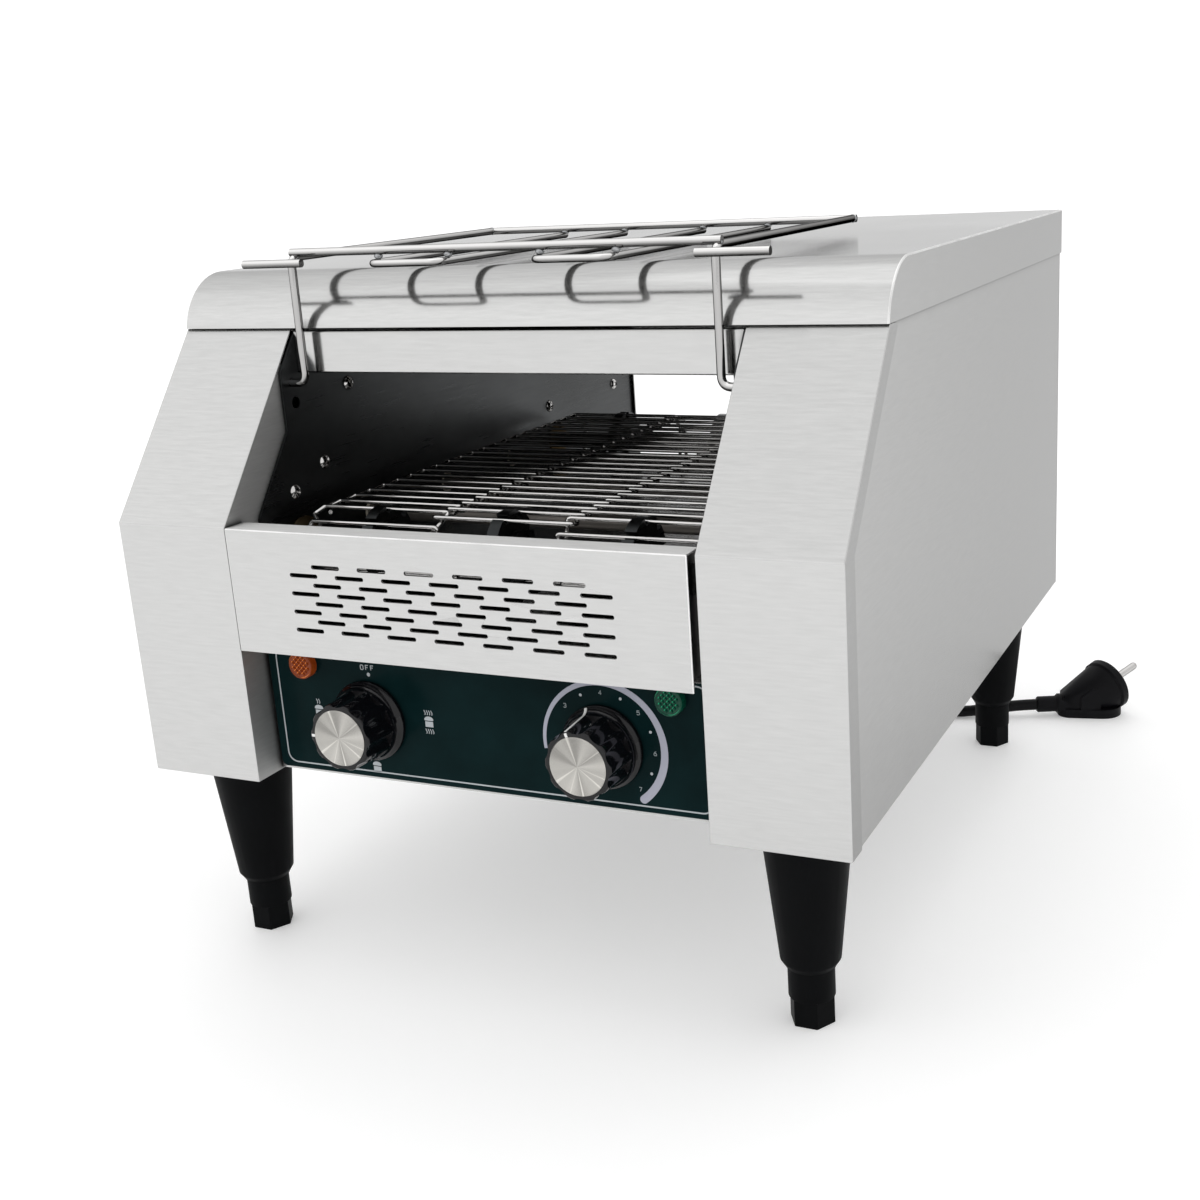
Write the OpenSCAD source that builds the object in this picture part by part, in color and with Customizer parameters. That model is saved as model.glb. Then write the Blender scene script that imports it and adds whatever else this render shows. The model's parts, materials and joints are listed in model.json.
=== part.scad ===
// Counter-top conveyor toaster: a folded stainless body on four tapered legs,
// a wire belt that carries bread between two rows of heaters, a control panel
// with two knobs and two lamps, and a hinged wire warming rack on the cover.
// Millimetres, +Z up, the front faces -Y, the origin is on the floor.

/* [Body] */
// Width over the side flanges
body_w = 368; // [340:1:420]
// Depth of the body from the front of the columns to the rear panel
body_d = 440; // [430:1:460]
// Height of the body without its legs
body_h = 239; // [236:1:245]
// Thickness of the sheet metal
sheet = 1.2; // [0.8:0.1:1.5]
// Outer radius of the cover's rounded front edge
cover_r = 32; // [28:1:34]
// Height of the cover's side and rear flanges
cover_flange = 26; // [24:1:30]

/* [Front] */
// Width of each front column
column_w = 64; // [50:1:70]
// Height of the knee where the column starts to lean back
knee_z = 128; // [124:1:132]
// How far back the column's upper end stands
column_lean = 67; // [60:1:70]
// Height of the perforated guard
guard_h = 60; // [55:1:62]
// Slots in the guard's odd rows
guard_slots = 6; // [4:1:7]
// Rows of slots
guard_rows = 8; // [4:1:8]

/* [Conveyor] */
// Distance between neighbouring strands of the belt
belt_pitch = 12.7; // [12:0.1:13]
// Width of the belt without its edge hooks
belt_w = 208; // [190:1:210]
// Diameter of the belt's wire
belt_wire = 2.2; // [1.8:0.1:2.4]
// Height of the middle of the belt's upper wires above the body's floor
belt_z = 126.6; // [124:0.1:127]
// Belt pitches between the two shafts
belt_spans = 21; // [20:1:21]
// Teeth of each belt sprocket, a multiple of four
belt_teeth = 8; // [8:4:8]

/* [Controls] */
// Distance of each knob from the middle
knob_x = 62.5; // [55:0.5:65]
// Height of the knobs above the body's floor
knob_z = 32; // [30:1:36]
// Diameter of the knob's skirt
knob_skirt_d = 40; // [38:1:42]
// Distance of each lamp from the middle
lamp_x = 97.5; // [92:0.5:99]
// Height of the lamps above the body's floor
lamp_z = 57.5; // [54:0.5:58]

/* [Legs] */
// Height of the body's floor above the table
leg_h = 97; // [90:1:120]
// Diameter of a leg at its top
leg_top_d = 41; // [36:1:44]
// Distance of the legs from the middle
leg_x = 152; // [145:1:158]

/* [Rack] */
// Diameter of the rack's outer wire
rack_wire = 4; // [3:0.5:5]
// Distance of the rack's side wires from the middle
rack_x = 110; // [100:1:112]
// Depth of the rack from its front wire to its rear wire
rack_d = 189; // [150:1:220]
// Height of the rack above the body's floor
rack_z = 247; // [246:1:252]

/* [Cord] */
// Diameter of the mains cord
cord_d = 7.6; // [7:0.1:8]

/* [Hidden] */
$fn = 48;

steel = [0.78, 0.78, 0.78];
dark_steel = [0.25, 0.26, 0.26];
chrome = [0.8, 0.8, 0.82];
black = [0.06, 0.06, 0.07];

// The body is drawn from the middle of its front bottom edge.
knob_proud = 8;
front_y = -(body_d - knob_proud) / 2;
half_w = body_w / 2;
panel_out = half_w - sheet;
panel_in = panel_out - sheet;
column_in = half_w - column_w;
wall_out = column_in;
wall_in = wall_out - sheet;
rear_in = body_d - sheet;

// Cover: its lower edge, and the middle of its rounded front.
cover_low = body_h - cover_flange;
cover_round_z = body_h - cover_r;
cover_round_y = column_lean - 2 + cover_r;
cover_play = 0.3;
column_top = cover_low - cover_play;

// Front pieces between the columns.
lintel_low = 191;
lintel_top = column_top - 1.2;
lintel_y = column_lean + 0.2;
panel_y = 18.4;
decal_t = 0.4;
decal_y = panel_y - decal_t;
control_h = 66;
base_front = 21;

// Belt: the strands sit on an eight-sided pitch line round each shaft.
belt_r = belt_pitch / 2 / sin(180 / belt_teeth);
shaft_z = belt_z - belt_r;
idler_y = 56.6;
drive_y = idler_y + belt_spans * belt_pitch;
half_turn = belt_teeth / 2;
belt_strands = 2 * belt_spans + 2 * half_turn;
joint_x = belt_w / 6;
joint_half = 3;
middle_shift = 1.5;
crank_dip = 3.4;
strand_play = 0.9;
shaft_r = 5;
bush_play = 0.05;
bush_r = 8;
chain_x = 129;
chain_pitch = 6.35;
shaft_wheel_teeth = 20;
motor_wheel_teeth = 12;
motor_y = drive_y - 70;
motor_z = 50;

// Heaters: the middle heights of the two rows and how far back each tube is.
heater_r = 4;
upper_heater_z = 196;
lower_heater_z = 110;
heater_ys = [115, 190, 265];
insulator_r = 6;

// Rack: the hooks turn in holes of the inner walls.
hook_y = 61;
hook_z = 187;
hook_r = rack_wire / 2;
hook_play = 0.05;

// Legs and feet, measured down from the body's floor.
leg_front_y = 33;
leg_rear_y = 390;
leg_taper = 65;
leg_low_r = 14;
foot_top = 69;
foot_r = 10.8;
stud_r = 5;
stud_l = 28;
bolt_r = 4;
bolt_up = 12;

// Knobs, along their own axis from the panel outwards.
knob_gap = 0.6;
knob_len = decal_y - knob_gap + knob_proud;
cap_r = 13.8;
spindle_r = 3;

// Cord, in the floor's frame: y from the rear panel, z from the floor.
cord_r = cord_d / 2;
gland_x = -145;
gland_z = 25;
gland_l = 24;
coil_at = [-10, 56];
coil_r = 44;
coil_half = cord_d;

cord_route = [
    [-145, 24, 122], [-145, 36, 122], [-145, 46.4, 120.6], [-145, 56, 116.6],
    [-145, 64.3, 110.3], [-145, 70.6, 102], [-145, 74.6, 92.4], [-145, 76, 82],
    [-145, 76, 62], [-145, 76, 42], [-144.4, 77.1, 32], [-142.5, 80.4, 22.8],
    [-139.4, 85.6, 14.9], [-135.5, 92.5, 8.9], [-130.9, 100.4, 5.1], [-126, 108.9, 3.8],
    [-119.4, 117.2, 3.8], [-110.8, 123.3, 3.8], [-100.7, 126.6, 3.8], [-90.1, 126.9, 3.8],
    [-79.9, 124.2, 3.8], [-70.9, 118.6, 3.8], [-63.8, 110.7, 3.8], [-59.3, 101.1, 3.8],
    [-57.8, 90.6, 3.8], [-57.8, 77, 3.8], [-57.8, 64, 3.8]
];
tail_route = [
    [-8, 8.2, 11.4], [4, 8.2, 10.6], [16, 7.6, 8.2], [28, 6.4, 5.4], [40, 4, 4],
    [54, 0.4, 3.8], [68, -4, 3.8], [82, -8.4, 3.8], [96, -11.6, 3.8],
    [110, -12.6, 3.8], [122, -11.4, 4], [134, -8, 5], [146, -3.6, 6.4],
    [158, 0.6, 7.5], [170, 4.8, 8]
];
cord_sides = 10;
plug_at = [170, 4.8, 8];
plug_turn = 23;

// ---------------------------------------------------------------- helpers

module at_body() translate([0, front_y, leg_h]) children();
module at_rear() translate([0, front_y + body_d, 0]) children();

// A profile in (y, z) pulled along x from x0 to x1.
module along_x(x0, x1) {
    translate([x0, 0, 0])
        rotate([90, 0, 90])
            linear_extrude(x1 - x0)
                children();
}

// A cylinder along x.
module rod_x(x0, x1, y, z, r) {
    translate([x0, y, z])
        rotate([0, 90, 0])
            cylinder(h = x1 - x0, r = r);
}

// A cylinder along y, from y0 back to y1.
module rod_y(y0, y1, x, z, r) {
    translate([x, y1, z])
        rotate([90, 0, 0])
            cylinder(h = y1 - y0, r = r);
}

// A straight wire between two points.
module wire(p, q, r, sides = 24) {
    v = q - p;
    l = norm(v);
    translate(p)
        rotate([0, acos(v.z / l), atan2(v.y, v.x)])
            cylinder(h = l, r = r, $fn = sides);
}

// A quarter or less of a ring that turns a wire from direction u to v at p.
module elbow(p, u, v, r, bend) {
    turn = acos(u * v);
    m = (v - (v * u) * u) / norm(v - (v * u) * u);
    c = p - u * bend * tan(turn / 2) + m * bend;
    z = cross(-m, u);
    multmatrix([
        [-m.x, u.x, z.x, c.x], [-m.y, u.y, z.y, c.y], [-m.z, u.z, z.z, c.z],
        [0, 0, 0, 1]
    ])
        rotate_extrude(angle = turn)
            translate([bend, 0])
                circle(r = r, $fn = 24);
}

// A wire through a list of points, rounded at each of them.
module bent_wire(points, r, bend) {
    n = len(points);
    dirs = [for (i = [1 : n - 1]) (points[i] - points[i - 1]) / norm(points[i] - points[i - 1])];
    cuts = [for (i = [0 : n - 1])
        i == 0 || i == n - 1 ? 0 : bend * tan(acos(dirs[i - 1] * dirs[i]) / 2)];
    for (i = [0 : n - 2])
        wire(points[i] + dirs[i] * cuts[i], points[i + 1] - dirs[i] * cuts[i + 1], r);
    for (i = [1 : n - 2])
        elbow(points[i], dirs[i - 1], dirs[i], r, bend);
}

module both_sides() {
    children();
    mirror([1, 0, 0]) children();
}

// ---------------------------------------------------------------- casing

// Everything behind the column's face, moved back by s.
module behind_face(s, top = column_top) {
    polygon([
        [s, 0], [s, knee_z], [column_lean + s, top],
        [column_lean + 40, top], [column_lean + 40, 0]
    ]);
}

module cover_outline(inset) {
    difference() {
        union() {
            translate([cover_round_y, cover_round_z])
                circle(r = cover_r - inset, $fn = 96);
            translate([cover_round_y, cover_round_z])
                square([body_d - inset - cover_round_y, cover_r - inset]);
        }
        translate([0, cover_round_z - cover_r])
            square([body_d + 1, cover_r + cover_low - cover_round_z]);
    }
}

module top_cover() {
    color(steel) at_body() difference() {
        along_x(-half_w, half_w) cover_outline(0);
        along_x(-panel_out, panel_out) {
            cover_outline(sheet);
            translate([cover_round_y, cover_low - 1])
                square([rear_in - cover_round_y, 5]);
            translate([cover_round_y - cover_r + 2, cover_low - 1])
                square([cover_r, 2]);
        }
    }
}

module side_panel() {
    front = sheet + 0.3;
    along_x(panel_in, panel_out)
        polygon([
            [front, 0], [front, knee_z], [column_lean + front, column_top],
            [column_lean + 14, body_h - 9], [rear_in, body_h - 9], [rear_in, 0]
        ]);
}

module left_side_panel() color(steel) at_body() mirror([1, 0, 0]) side_panel();
module right_side_panel() color(steel) at_body() side_panel();

module column() {
    flange = 13;
    return_d = 34;
    foot_d = base_front;
    hook_clear = hook_y - 5;
    rise = (column_top - knee_z) / column_lean;
    // Face
    along_x(column_in, half_w)
        difference() {
            behind_face(0);
            behind_face(sheet);
        }
    // Flange that laps over the side panel, rounded at its upper end
    along_x(panel_out, half_w)
        difference() {
            behind_face(0);
            behind_face(flange);
            translate([column_lean + flange, column_top])
                difference() {
                    translate([-6, -6]) square(12);
                    translate([-6, -6]) circle(r = 6);
                }
        }
    // Return into the opening, with its bent rear edge
    along_x(column_in, column_in + sheet)
        polygon([
            [0, 0], [0, knee_z], [hook_clear, knee_z + rise * hook_clear],
            [hook_clear, knee_z + 34], [return_d, knee_z + 4], [return_d, sheet],
            [foot_d, sheet], [foot_d, 0]
        ]);
    // Foot, level with the base plate behind it
    translate([column_in, sheet / 2, 0])
        cube([panel_in - column_in, foot_d - sheet / 2, sheet]);
}

module left_front_column() color(steel) at_body() mirror([1, 0, 0]) column();
module right_front_column() color(steel) at_body() column();

module inner_wall() {
    low_y = 25;
    high_y = 53.5;
    top = column_top - 2.4;
    lean = column_lean / (column_top - knee_z);
    behind = 2;
    flange_y = column_lean + 10;
    flange_w = 18;
    difference() {
        union() {
            along_x(wall_in, wall_out)
                polygon([
                    [low_y, sheet], [low_y, knee_z - 1], [high_y, knee_z + 36],
                    [high_y, knee_z + (high_y - behind) / lean],
                    [behind + (top - knee_z) * lean, top], [rear_in, top], [rear_in, sheet]
                ]);
            // Upper flange, turned outwards under the cover
            translate([wall_in, flange_y, top - sheet])
                cube([flange_w, rear_in - flange_y, sheet]);
        }
        for (y = [idler_y, drive_y])
            rod_x(wall_in - 1, wall_out + 1, y, shaft_z, bush_r);
        for (y = heater_ys, z = [lower_heater_z, upper_heater_z])
            rod_x(wall_in - 1, wall_out + 1, y, z, insulator_r);
        rod_x(wall_in - 1, wall_out + 1, hook_y, hook_z, hook_r + hook_play);
        // Spare hole below the hook
        rod_x(wall_in - 1, wall_out + 1, hook_y + 1.6, hook_z - 10, 3);
    }
}

module left_inner_wall() color(dark_steel) at_body() mirror([1, 0, 0]) inner_wall();
module right_inner_wall() color(dark_steel) at_body() inner_wall();

// Corner positions of the four legs.
leg_spots = [for (y = [leg_front_y, leg_rear_y], x = [-leg_x, leg_x]) [x, y, 0]];

module base_plate() {
    edge_h = 14;
    slot_w = 4;
    color(steel) at_body() difference() {
        union() {
            translate([-panel_in, base_front, 0])
                cube([2 * panel_in, rear_in - base_front, sheet]);
            // Edges turned up against the side panels
            both_sides()
                translate([panel_in - sheet, base_front + 3, 0])
                    cube([sheet, rear_in - base_front - 3, edge_h]);
        }
        for (p = leg_spots)
            translate(p + [0, 0, -1])
                cylinder(h = sheet + 2, r = bolt_r);
        // Air slots under the electrical parts
        for (i = [-4 : 4])
            translate([(i * 3 - 0.5) * slot_w, base_front + 5, -1])
                cube([slot_w, 36, sheet + 2]);
    }
}

outlet_half = wall_in - 1.8;
outlet_low = 40;
outlet_top = 200;
tray_slot_top = 30;
louvre_w = 32;

module rear_panel() {
    color(steel) at_body() difference() {
        translate([-panel_out, rear_in, 0])
            cube([2 * panel_out, sheet, cover_low]);
        translate([-outlet_half, rear_in - 1, outlet_low])
            cube([2 * outlet_half, sheet + 2, outlet_top - outlet_low]);
        translate([-outlet_half, rear_in - 1, sheet])
            cube([2 * outlet_half, sheet + 2, tray_slot_top - sheet]);
        // Louvres behind the two side compartments
        for (s = [-1, 1], i = [0 : 7])
            translate([s * leg_x - louvre_w / 2, rear_in - 1, 70 + i * 12])
                cube([louvre_w, sheet + 2, 4]);
        rod_y(rear_in - 1, body_d + 1, gland_x, gland_z, 6);
    }
}

module front_lintel() {
    color(steel) at_body() along_x(-wall_in, wall_in) {
        translate([lintel_y, lintel_low])
            square([sheet, lintel_top - lintel_low]);
        translate([lintel_y, lintel_top - sheet])
            square([18, sheet]);
        translate([lintel_y, lintel_low])
            square([13, sheet]);
    }
}

// One rounded slot through the guard.
module guard_slot(x, z) {
    slot_l = 13.5;
    slot_h = 2;
    translate([x - slot_l / 2, -1, z - slot_h / 2])
        cube([slot_l, sheet + 2, slot_h]);
    for (s = [-1, 1])
        rod_y(-1, sheet + 1, x + s * slot_l / 2, z, slot_h / 2);
}

module front_guard() {
    left = -column_in;
    right = column_in - 3.5;
    low = knee_z - guard_h;
    slot_pitch = 25.2;
    row_pitch = 4.4;
    slot_middle = (left + right) / 2;
    color(steel) at_body() difference() {
        union() {
            translate([left, 0, low])
                cube([right - left, sheet, guard_h]);
            // Upper edge and both ends, turned back
            translate([left, 0, knee_z - sheet])
                cube([right - left, 13, sheet]);
            for (x = [left, right - sheet])
                translate([x, 0, low + 6])
                    cube([sheet, 13, guard_h - 6]);
            // Tab that bridges the gap to the right column
            translate([right - sheet, 10, knee_z - 20])
                cube([column_in - right + sheet, sheet, 14]);
        }
        for (row = [0 : guard_rows - 1]) {
            odd = row % 2;
            count = guard_slots + odd;
            for (i = [0 : count - 1])
                guard_slot(
                    slot_middle + (i - (count - 1) / 2) * slot_pitch,
                    knee_z - 16 - row * row_pitch
                );
        }
    }
}

module control_panel() {
    color(steel) at_body() difference() {
        union() {
            translate([-column_in, panel_y, sheet])
                cube([2 * column_in, sheet, control_h - sheet]);
            translate([-wall_in, panel_y, control_h - sheet])
                cube([2 * wall_in, 60, sheet]);
        }
        for (x = [-knob_x, knob_x])
            rod_y(panel_y - 1, panel_y + sheet + 1, x, knob_z, 4.5);
        for (x = [-lamp_x, lamp_x])
            rod_y(panel_y - 1, panel_y + sheet + 1, x, lamp_z, 5);
    }
}

module control_decal() {
    low = 2.4;
    r = 3;
    color([0.03, 0.12, 0.11]) at_body() difference() {
        translate([0, decal_y + decal_t, 0])
            rotate([90, 0, 0])
                linear_extrude(decal_t)
                    union() {
                        translate([-column_in + 1 + r, low])
                            square([2 * (column_in - 1 - r), control_h - low]);
                        translate([-column_in + 1, low + r])
                            square([2 * (column_in - 1), control_h - low - 2 * r]);
                        for (x = [-1, 1], z = [low + r, control_h - r])
                            translate([x * (column_in - 1 - r), z])
                                circle(r = r);
                    }
        for (x = [-knob_x, knob_x])
            rod_y(decal_y - 1, panel_y + 1, x, knob_z, 4.5);
        for (x = [-lamp_x, lamp_x])
            rod_y(decal_y - 1, panel_y + 1, x, lamp_z, 5);
    }
}

// ---------------------------------------------------------------- bread path

module exit_chute() {
    high = [322, 84];
    low = [rear_in, outlet_low + 4];
    color(steel) at_body() along_x(-wall_in, wall_in)
        polygon([
            [high.x - 8, high.y], [high.x, high.y], low, [low.x, low.y - 8],
            [low.x - sheet, low.y - 8], [low.x - sheet, low.y - sheet],
            [high.x, high.y - sheet], [high.x - 8, high.y - sheet]
        ]);
}

module crumb_tray() {
    half = 112;
    y0 = 130;
    z0 = sheet + 0.4;
    wall = 1;
    tall = 20;
    color(steel) at_body() difference() {
        union() {
            translate([-half, y0, z0])
                cube([2 * half, body_d - sheet - y0, tall]);
            translate([-outlet_half + 0.6, body_d - sheet, z0])
                cube([2 * outlet_half - 1.2, sheet, tray_slot_top - z0 - 0.6]);
        }
        translate([-half + wall, y0 + wall, z0 + wall])
            cube([2 * (half - wall), body_d - sheet - y0 - 2 * wall, tall]);
        // Finger slot
        for (x = [-22, 22])
            rod_y(body_d - sheet - 0.1, body_d + 1, x, z0 + tall + 3.2, 3);
        translate([-22, body_d - sheet - 0.1, z0 + tall + 0.2])
            cube([44, sheet + 1, 6]);
    }
}

// A reflector is a sheet between the walls with its front and rear edges bent by lip.
module reflector(y0, y1, z, lip) {
    along_x(-wall_in, wall_in) {
        translate([y0, z]) square([y1 - y0, sheet]);
        for (y = [y0, y1 - sheet])
            translate([y, lip > 0 ? z : z + lip + sheet])
                square([sheet, abs(lip)]);
    }
}

upper_reflector_z = upper_heater_z + 9;
lower_reflector_z = lower_heater_z - 10;

module upper_reflector() color(steel) at_body() reflector(88, 345, upper_reflector_z, -10);
module lower_reflector() color(steel) at_body() reflector(82, 298, lower_reflector_z, 5);

module heater_row(z) {
    for (y = heater_ys)
        rod_x(-wall_out - 16, wall_out + 16, y, z, heater_r);
}

module upper_heaters() color([0.5, 0.48, 0.46]) at_body() heater_row(upper_heater_z);
module lower_heaters() color([0.5, 0.48, 0.46]) at_body() heater_row(lower_heater_z);

module insulator(y, z) {
    difference() {
        union() {
            rod_x(wall_in, wall_out, y, z, insulator_r);
            rod_x(wall_out, wall_out + 8, y, z, insulator_r + 3);
        }
        rod_x(wall_in - 1, wall_out + 9, y, z, heater_r);
    }
}

module heater_insulators() {
    color("ivory") at_body() both_sides()
        for (y = heater_ys, z = [lower_heater_z, upper_heater_z])
            insulator(y, z);
}

// Domed screws on the inside of the walls: how far back and how high.
screw_spots = [[53.5, 134], [79.4, 144], [106.6, 180], [317, 133], [410, 133]];

module wall_screws() {
    color(steel) at_body() both_sides()
        for (p = screw_spots)
            translate([wall_in, p.x, p.y])
                rotate([0, -90, 0])
                    rotate_extrude()
                        intersection() {
                            translate([0, -1.6]) circle(r = 4);
                            square([4, 3]);
                        }
}

// ---------------------------------------------------------------- conveyor

// A point of the belt: across it at x, along it at s pitches from the top of
// the idler shaft, and depth below the pitch line.
function belt_point(x, s, depth = 0) =
    let (n = belt_strands, t = s - n * floor(s / n), r = belt_r - depth)
    t <= belt_spans ? [x, idler_y + t * belt_pitch, shaft_z + r]
    : t <= belt_spans + half_turn ?
        let (a = 90 - (t - belt_spans) * 180 / half_turn)
        [x, drive_y + r * cos(a), shaft_z + r * sin(a)]
    : t <= 2 * belt_spans + half_turn ?
        [x, drive_y - (t - belt_spans - half_turn) * belt_pitch, shaft_z - r]
    : let (a = 270 - (t - 2 * belt_spans - half_turn) * 180 / half_turn)
        [x, idler_y + r * cos(a), shaft_z + r * sin(a)];

// One strand: an outer bar, a crank that dips under the next strand, the
// middle bar, a second crank, the other outer bar, and a hook at each edge.
module belt_strand(i) {
    edge = belt_w / 2;
    r = belt_wire / 2;
    for (side = [-1, 1]) {
        out = side * joint_x - side * joint_half;
        mid = side * joint_x + side * joint_half;
        hook = side * edge;
        path = [
            belt_point(side * (joint_x - joint_half), i),
            belt_point(hook, i),
            belt_point(side * (edge + 3), i - 0.5, crank_dip / 2),
            belt_point(side * (edge - 3), i - 1.05, crank_dip - 0.6)
        ];
        crank = [
            belt_point(out, i),
            belt_point(side * joint_x, i - middle_shift / 2, crank_dip),
            belt_point(mid, i - middle_shift)
        ];
        for (k = [1 : len(path) - 1])
            wire(path[k - 1], path[k], r, 6);
        for (k = [1 : len(crank) - 1])
            wire(crank[k - 1], crank[k], r, 6);
    }
    wire(
        belt_point(-joint_x - joint_half, i - middle_shift),
        belt_point(joint_x + joint_half, i - middle_shift), r, 6
    );
}

module conveyor_belt() {
    color(chrome) at_body()
        for (i = [0 : belt_strands - 1])
            belt_strand(i);
}

// A toothed wheel whose tooth gaps take round pins of radius pin_r, with play
// all round each pin.
module toothed_disc(teeth, pitch_r, pin_r, tip, thick, turn = 0, play = 0.35) {
    gap_r = pin_r + play;
    linear_extrude(thick)
        difference() {
            circle(r = pitch_r + tip);
            for (k = [0 : teeth - 1])
                rotate(turn + k * 360 / teeth) {
                    translate([pitch_r, 0]) circle(r = gap_r);
                    translate([pitch_r, -gap_r]) square([tip + 2, 2 * gap_r]);
                }
        }
}

module belt_sprocket(x, turn) {
    thick = 6;
    hub_r = 9;
    translate([x, 0, 0])
        rotate([90, 0, 90])
            difference() {
                union() {
                    translate([0, 0, -thick / 2])
                        toothed_disc(
                            belt_teeth, belt_r, belt_wire / 2, 2, thick, turn, strand_play
                        );
                    translate([0, 0, -thick])
                        cylinder(h = 2 * thick, r = hub_r);
                }
                translate([0, 0, -thick - 1])
                    cylinder(h = 2 * thick + 2, r = shaft_r);
            }
}

module sprocket_set() {
    tooth_step = 360 / belt_teeth;
    for (side = [-1, 1])
        belt_sprocket(side * belt_w / 3, 0);
    belt_sprocket(0, tooth_step * middle_shift);
}

module drive_sprockets() {
    color(dark_steel) at_body() translate([0, drive_y, shaft_z]) sprocket_set();
}

module idler_sprockets() {
    color(dark_steel) at_body() translate([0, idler_y, shaft_z]) sprocket_set();
}

module drive_shaft() {
    color(chrome) at_body() rod_x(-wall_out - 8, chain_x + 10, drive_y, shaft_z, shaft_r);
}

module idler_shaft() {
    color(chrome) at_body() rod_x(-wall_out - 8, wall_out + 8, idler_y, shaft_z, shaft_r);
}

module shaft_bushes() {
    flange_r = bush_r + 3;
    color([0.3, 0.24, 0.16]) at_body() both_sides()
        for (y = [idler_y, drive_y])
            difference() {
                union() {
                    rod_x(wall_in - 1.5, wall_in, y, shaft_z, flange_r);
                    rod_x(wall_in, wall_out + 4, y, shaft_z, bush_r);
                }
                rod_x(wall_in - 2, wall_out + 5, y, shaft_z, shaft_r + bush_play);
            }
}

function chain_r(teeth) = chain_pitch / 2 / sin(180 / teeth);

module chain_wheel(teeth, y, z, bore) {
    thick = 2.4;
    translate([chain_x, y, z])
        rotate([90, 0, 90])
            difference() {
                union() {
                    translate([0, 0, -thick / 2])
                        toothed_disc(teeth, chain_r(teeth), 1.65, 1.6, thick);
                    translate([0, 0, -3])
                        cylinder(h = 9, r = bore + 3);
                }
                translate([0, 0, -4])
                    cylinder(h = 11, r = bore);
            }
}

module shaft_chain_wheel() {
    color(dark_steel) at_body() chain_wheel(shaft_wheel_teeth, drive_y, shaft_z, shaft_r);
}

motor_shaft_r = 3.5;

module motor_chain_wheel() {
    color(dark_steel) at_body() {
        chain_wheel(motor_wheel_teeth, motor_y, motor_z, motor_shaft_r);
        rod_x(chain_x - 3, chain_x + 16, motor_y, motor_z, motor_shaft_r);
    }
}

// The outline of a band round both wheels, grow outside their pitch lines. The
// middle of the small wheel is at 0 and the large one is gap away along +X.
function chain_outline(gap, grow, steps = 20) =
    let (
        r1 = chain_r(motor_wheel_teeth) + grow,
        r2 = chain_r(shaft_wheel_teeth) + grow,
        tilt = asin((r2 - r1) / gap)
    )
    concat(
        [for (k = [0 : steps])
            let (a = 90 + tilt + k * (180 - 2 * tilt) / steps) r1 * [cos(a), sin(a)]],
        [for (k = [0 : steps])
            let (a = 270 - tilt + k * (180 + 2 * tilt) / steps)
            [gap, 0] + r2 * [cos(a), sin(a)]]
    );

// The chain's two rows of link plates.
module drive_chain() {
    plate = 1;
    inner = 1.6;
    run = [drive_y - motor_y, shaft_z - motor_z];
    color(dark_steel) at_body()
        for (x = [chain_x - inner - plate, chain_x + inner])
            along_x(x, x + plate)
                translate([motor_y, motor_z])
                    rotate(atan2(run.y, run.x))
                        difference() {
                            polygon(chain_outline(norm(run), 3));
                            polygon(chain_outline(norm(run), -2.6));
                        }
}

module gear_motor() {
    gear_x = chain_x + 12;
    box = 46;
    color([0.55, 0.56, 0.57]) at_body() difference() {
        union() {
            translate([gear_x, motor_y - box / 2, motor_z - box / 2])
                cube([14, box, box]);
            rod_x(gear_x + 14, panel_in - 1, motor_y, motor_z, 22);
        }
        rod_x(gear_x - 1, gear_x + 10, motor_y, motor_z, motor_shaft_r + bush_play);
    }
}

module motor_standoffs() {
    color(steel) at_body()
        for (dy = [-1, 1], dz = [-1, 1])
            rod_x(wall_out, chain_x + 12, motor_y + dy * 19, motor_z + dz * 19, 3);
}

// ---------------------------------------------------------------- controls

// A switch behind the panel at x, with its threaded neck and nut.
module panel_switch(x, body_w, body_h, body_l) {
    at_body() difference() {
        union() {
            translate([x - body_w / 2, panel_y + sheet, knob_z - body_h / 2])
                cube([body_w, body_l, body_h]);
            rod_y(decal_y - 4, panel_y + sheet, x, knob_z, 4.5);
            translate([x, decal_y, knob_z])
                rotate([90, 0, 0])
                    cylinder(h = 2.4, r = 6.5, $fn = 6);
        }
        rod_y(decal_y - 5, panel_y + sheet + body_l - 6, x, knob_z, spindle_r + bush_play);
    }
}

module selector_switch() color([0.85, 0.83, 0.78]) panel_switch(-knob_x, 34, 38, 34);
module speed_control() color([0.3, 0.3, 0.32]) panel_switch(knob_x, 30, 30, 16);

module speed_board() {
    color([0.1, 0.35, 0.2]) at_body() {
        translate([10, 72, sheet + 8]) cube([80, 50, 1.6]);
        for (x = [15, 85], y = [77, 117])
            translate([x, y, sheet]) cylinder(h = 8, r = 2.5);
        translate([24, 80, sheet + 9.6]) cube([18, 14, 16]);
        translate([54, 86, sheet + 9.6]) cylinder(h = 20, r = 6);
        translate([66, 100, sheet + 9.6]) cube([16, 6, 18]);
    }
}

module terminal_block() {
    color("ivory") at_body() difference() {
        translate([-90, 96, sheet]) cube([60, 22, 18]);
        for (i = [0 : 4])
            translate([-84 + i * 12, 107, sheet + 10]) cylinder(h = 10, r = 2.4);
    }
}

module spindle(x, l) {
    color(chrome) at_body()
        rod_y(decal_y - 14, panel_y + sheet + l, x, knob_z, spindle_r);
}

module selector_spindle() spindle(-knob_x, 27);
module speed_spindle() spindle(knob_x, 9);

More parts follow.
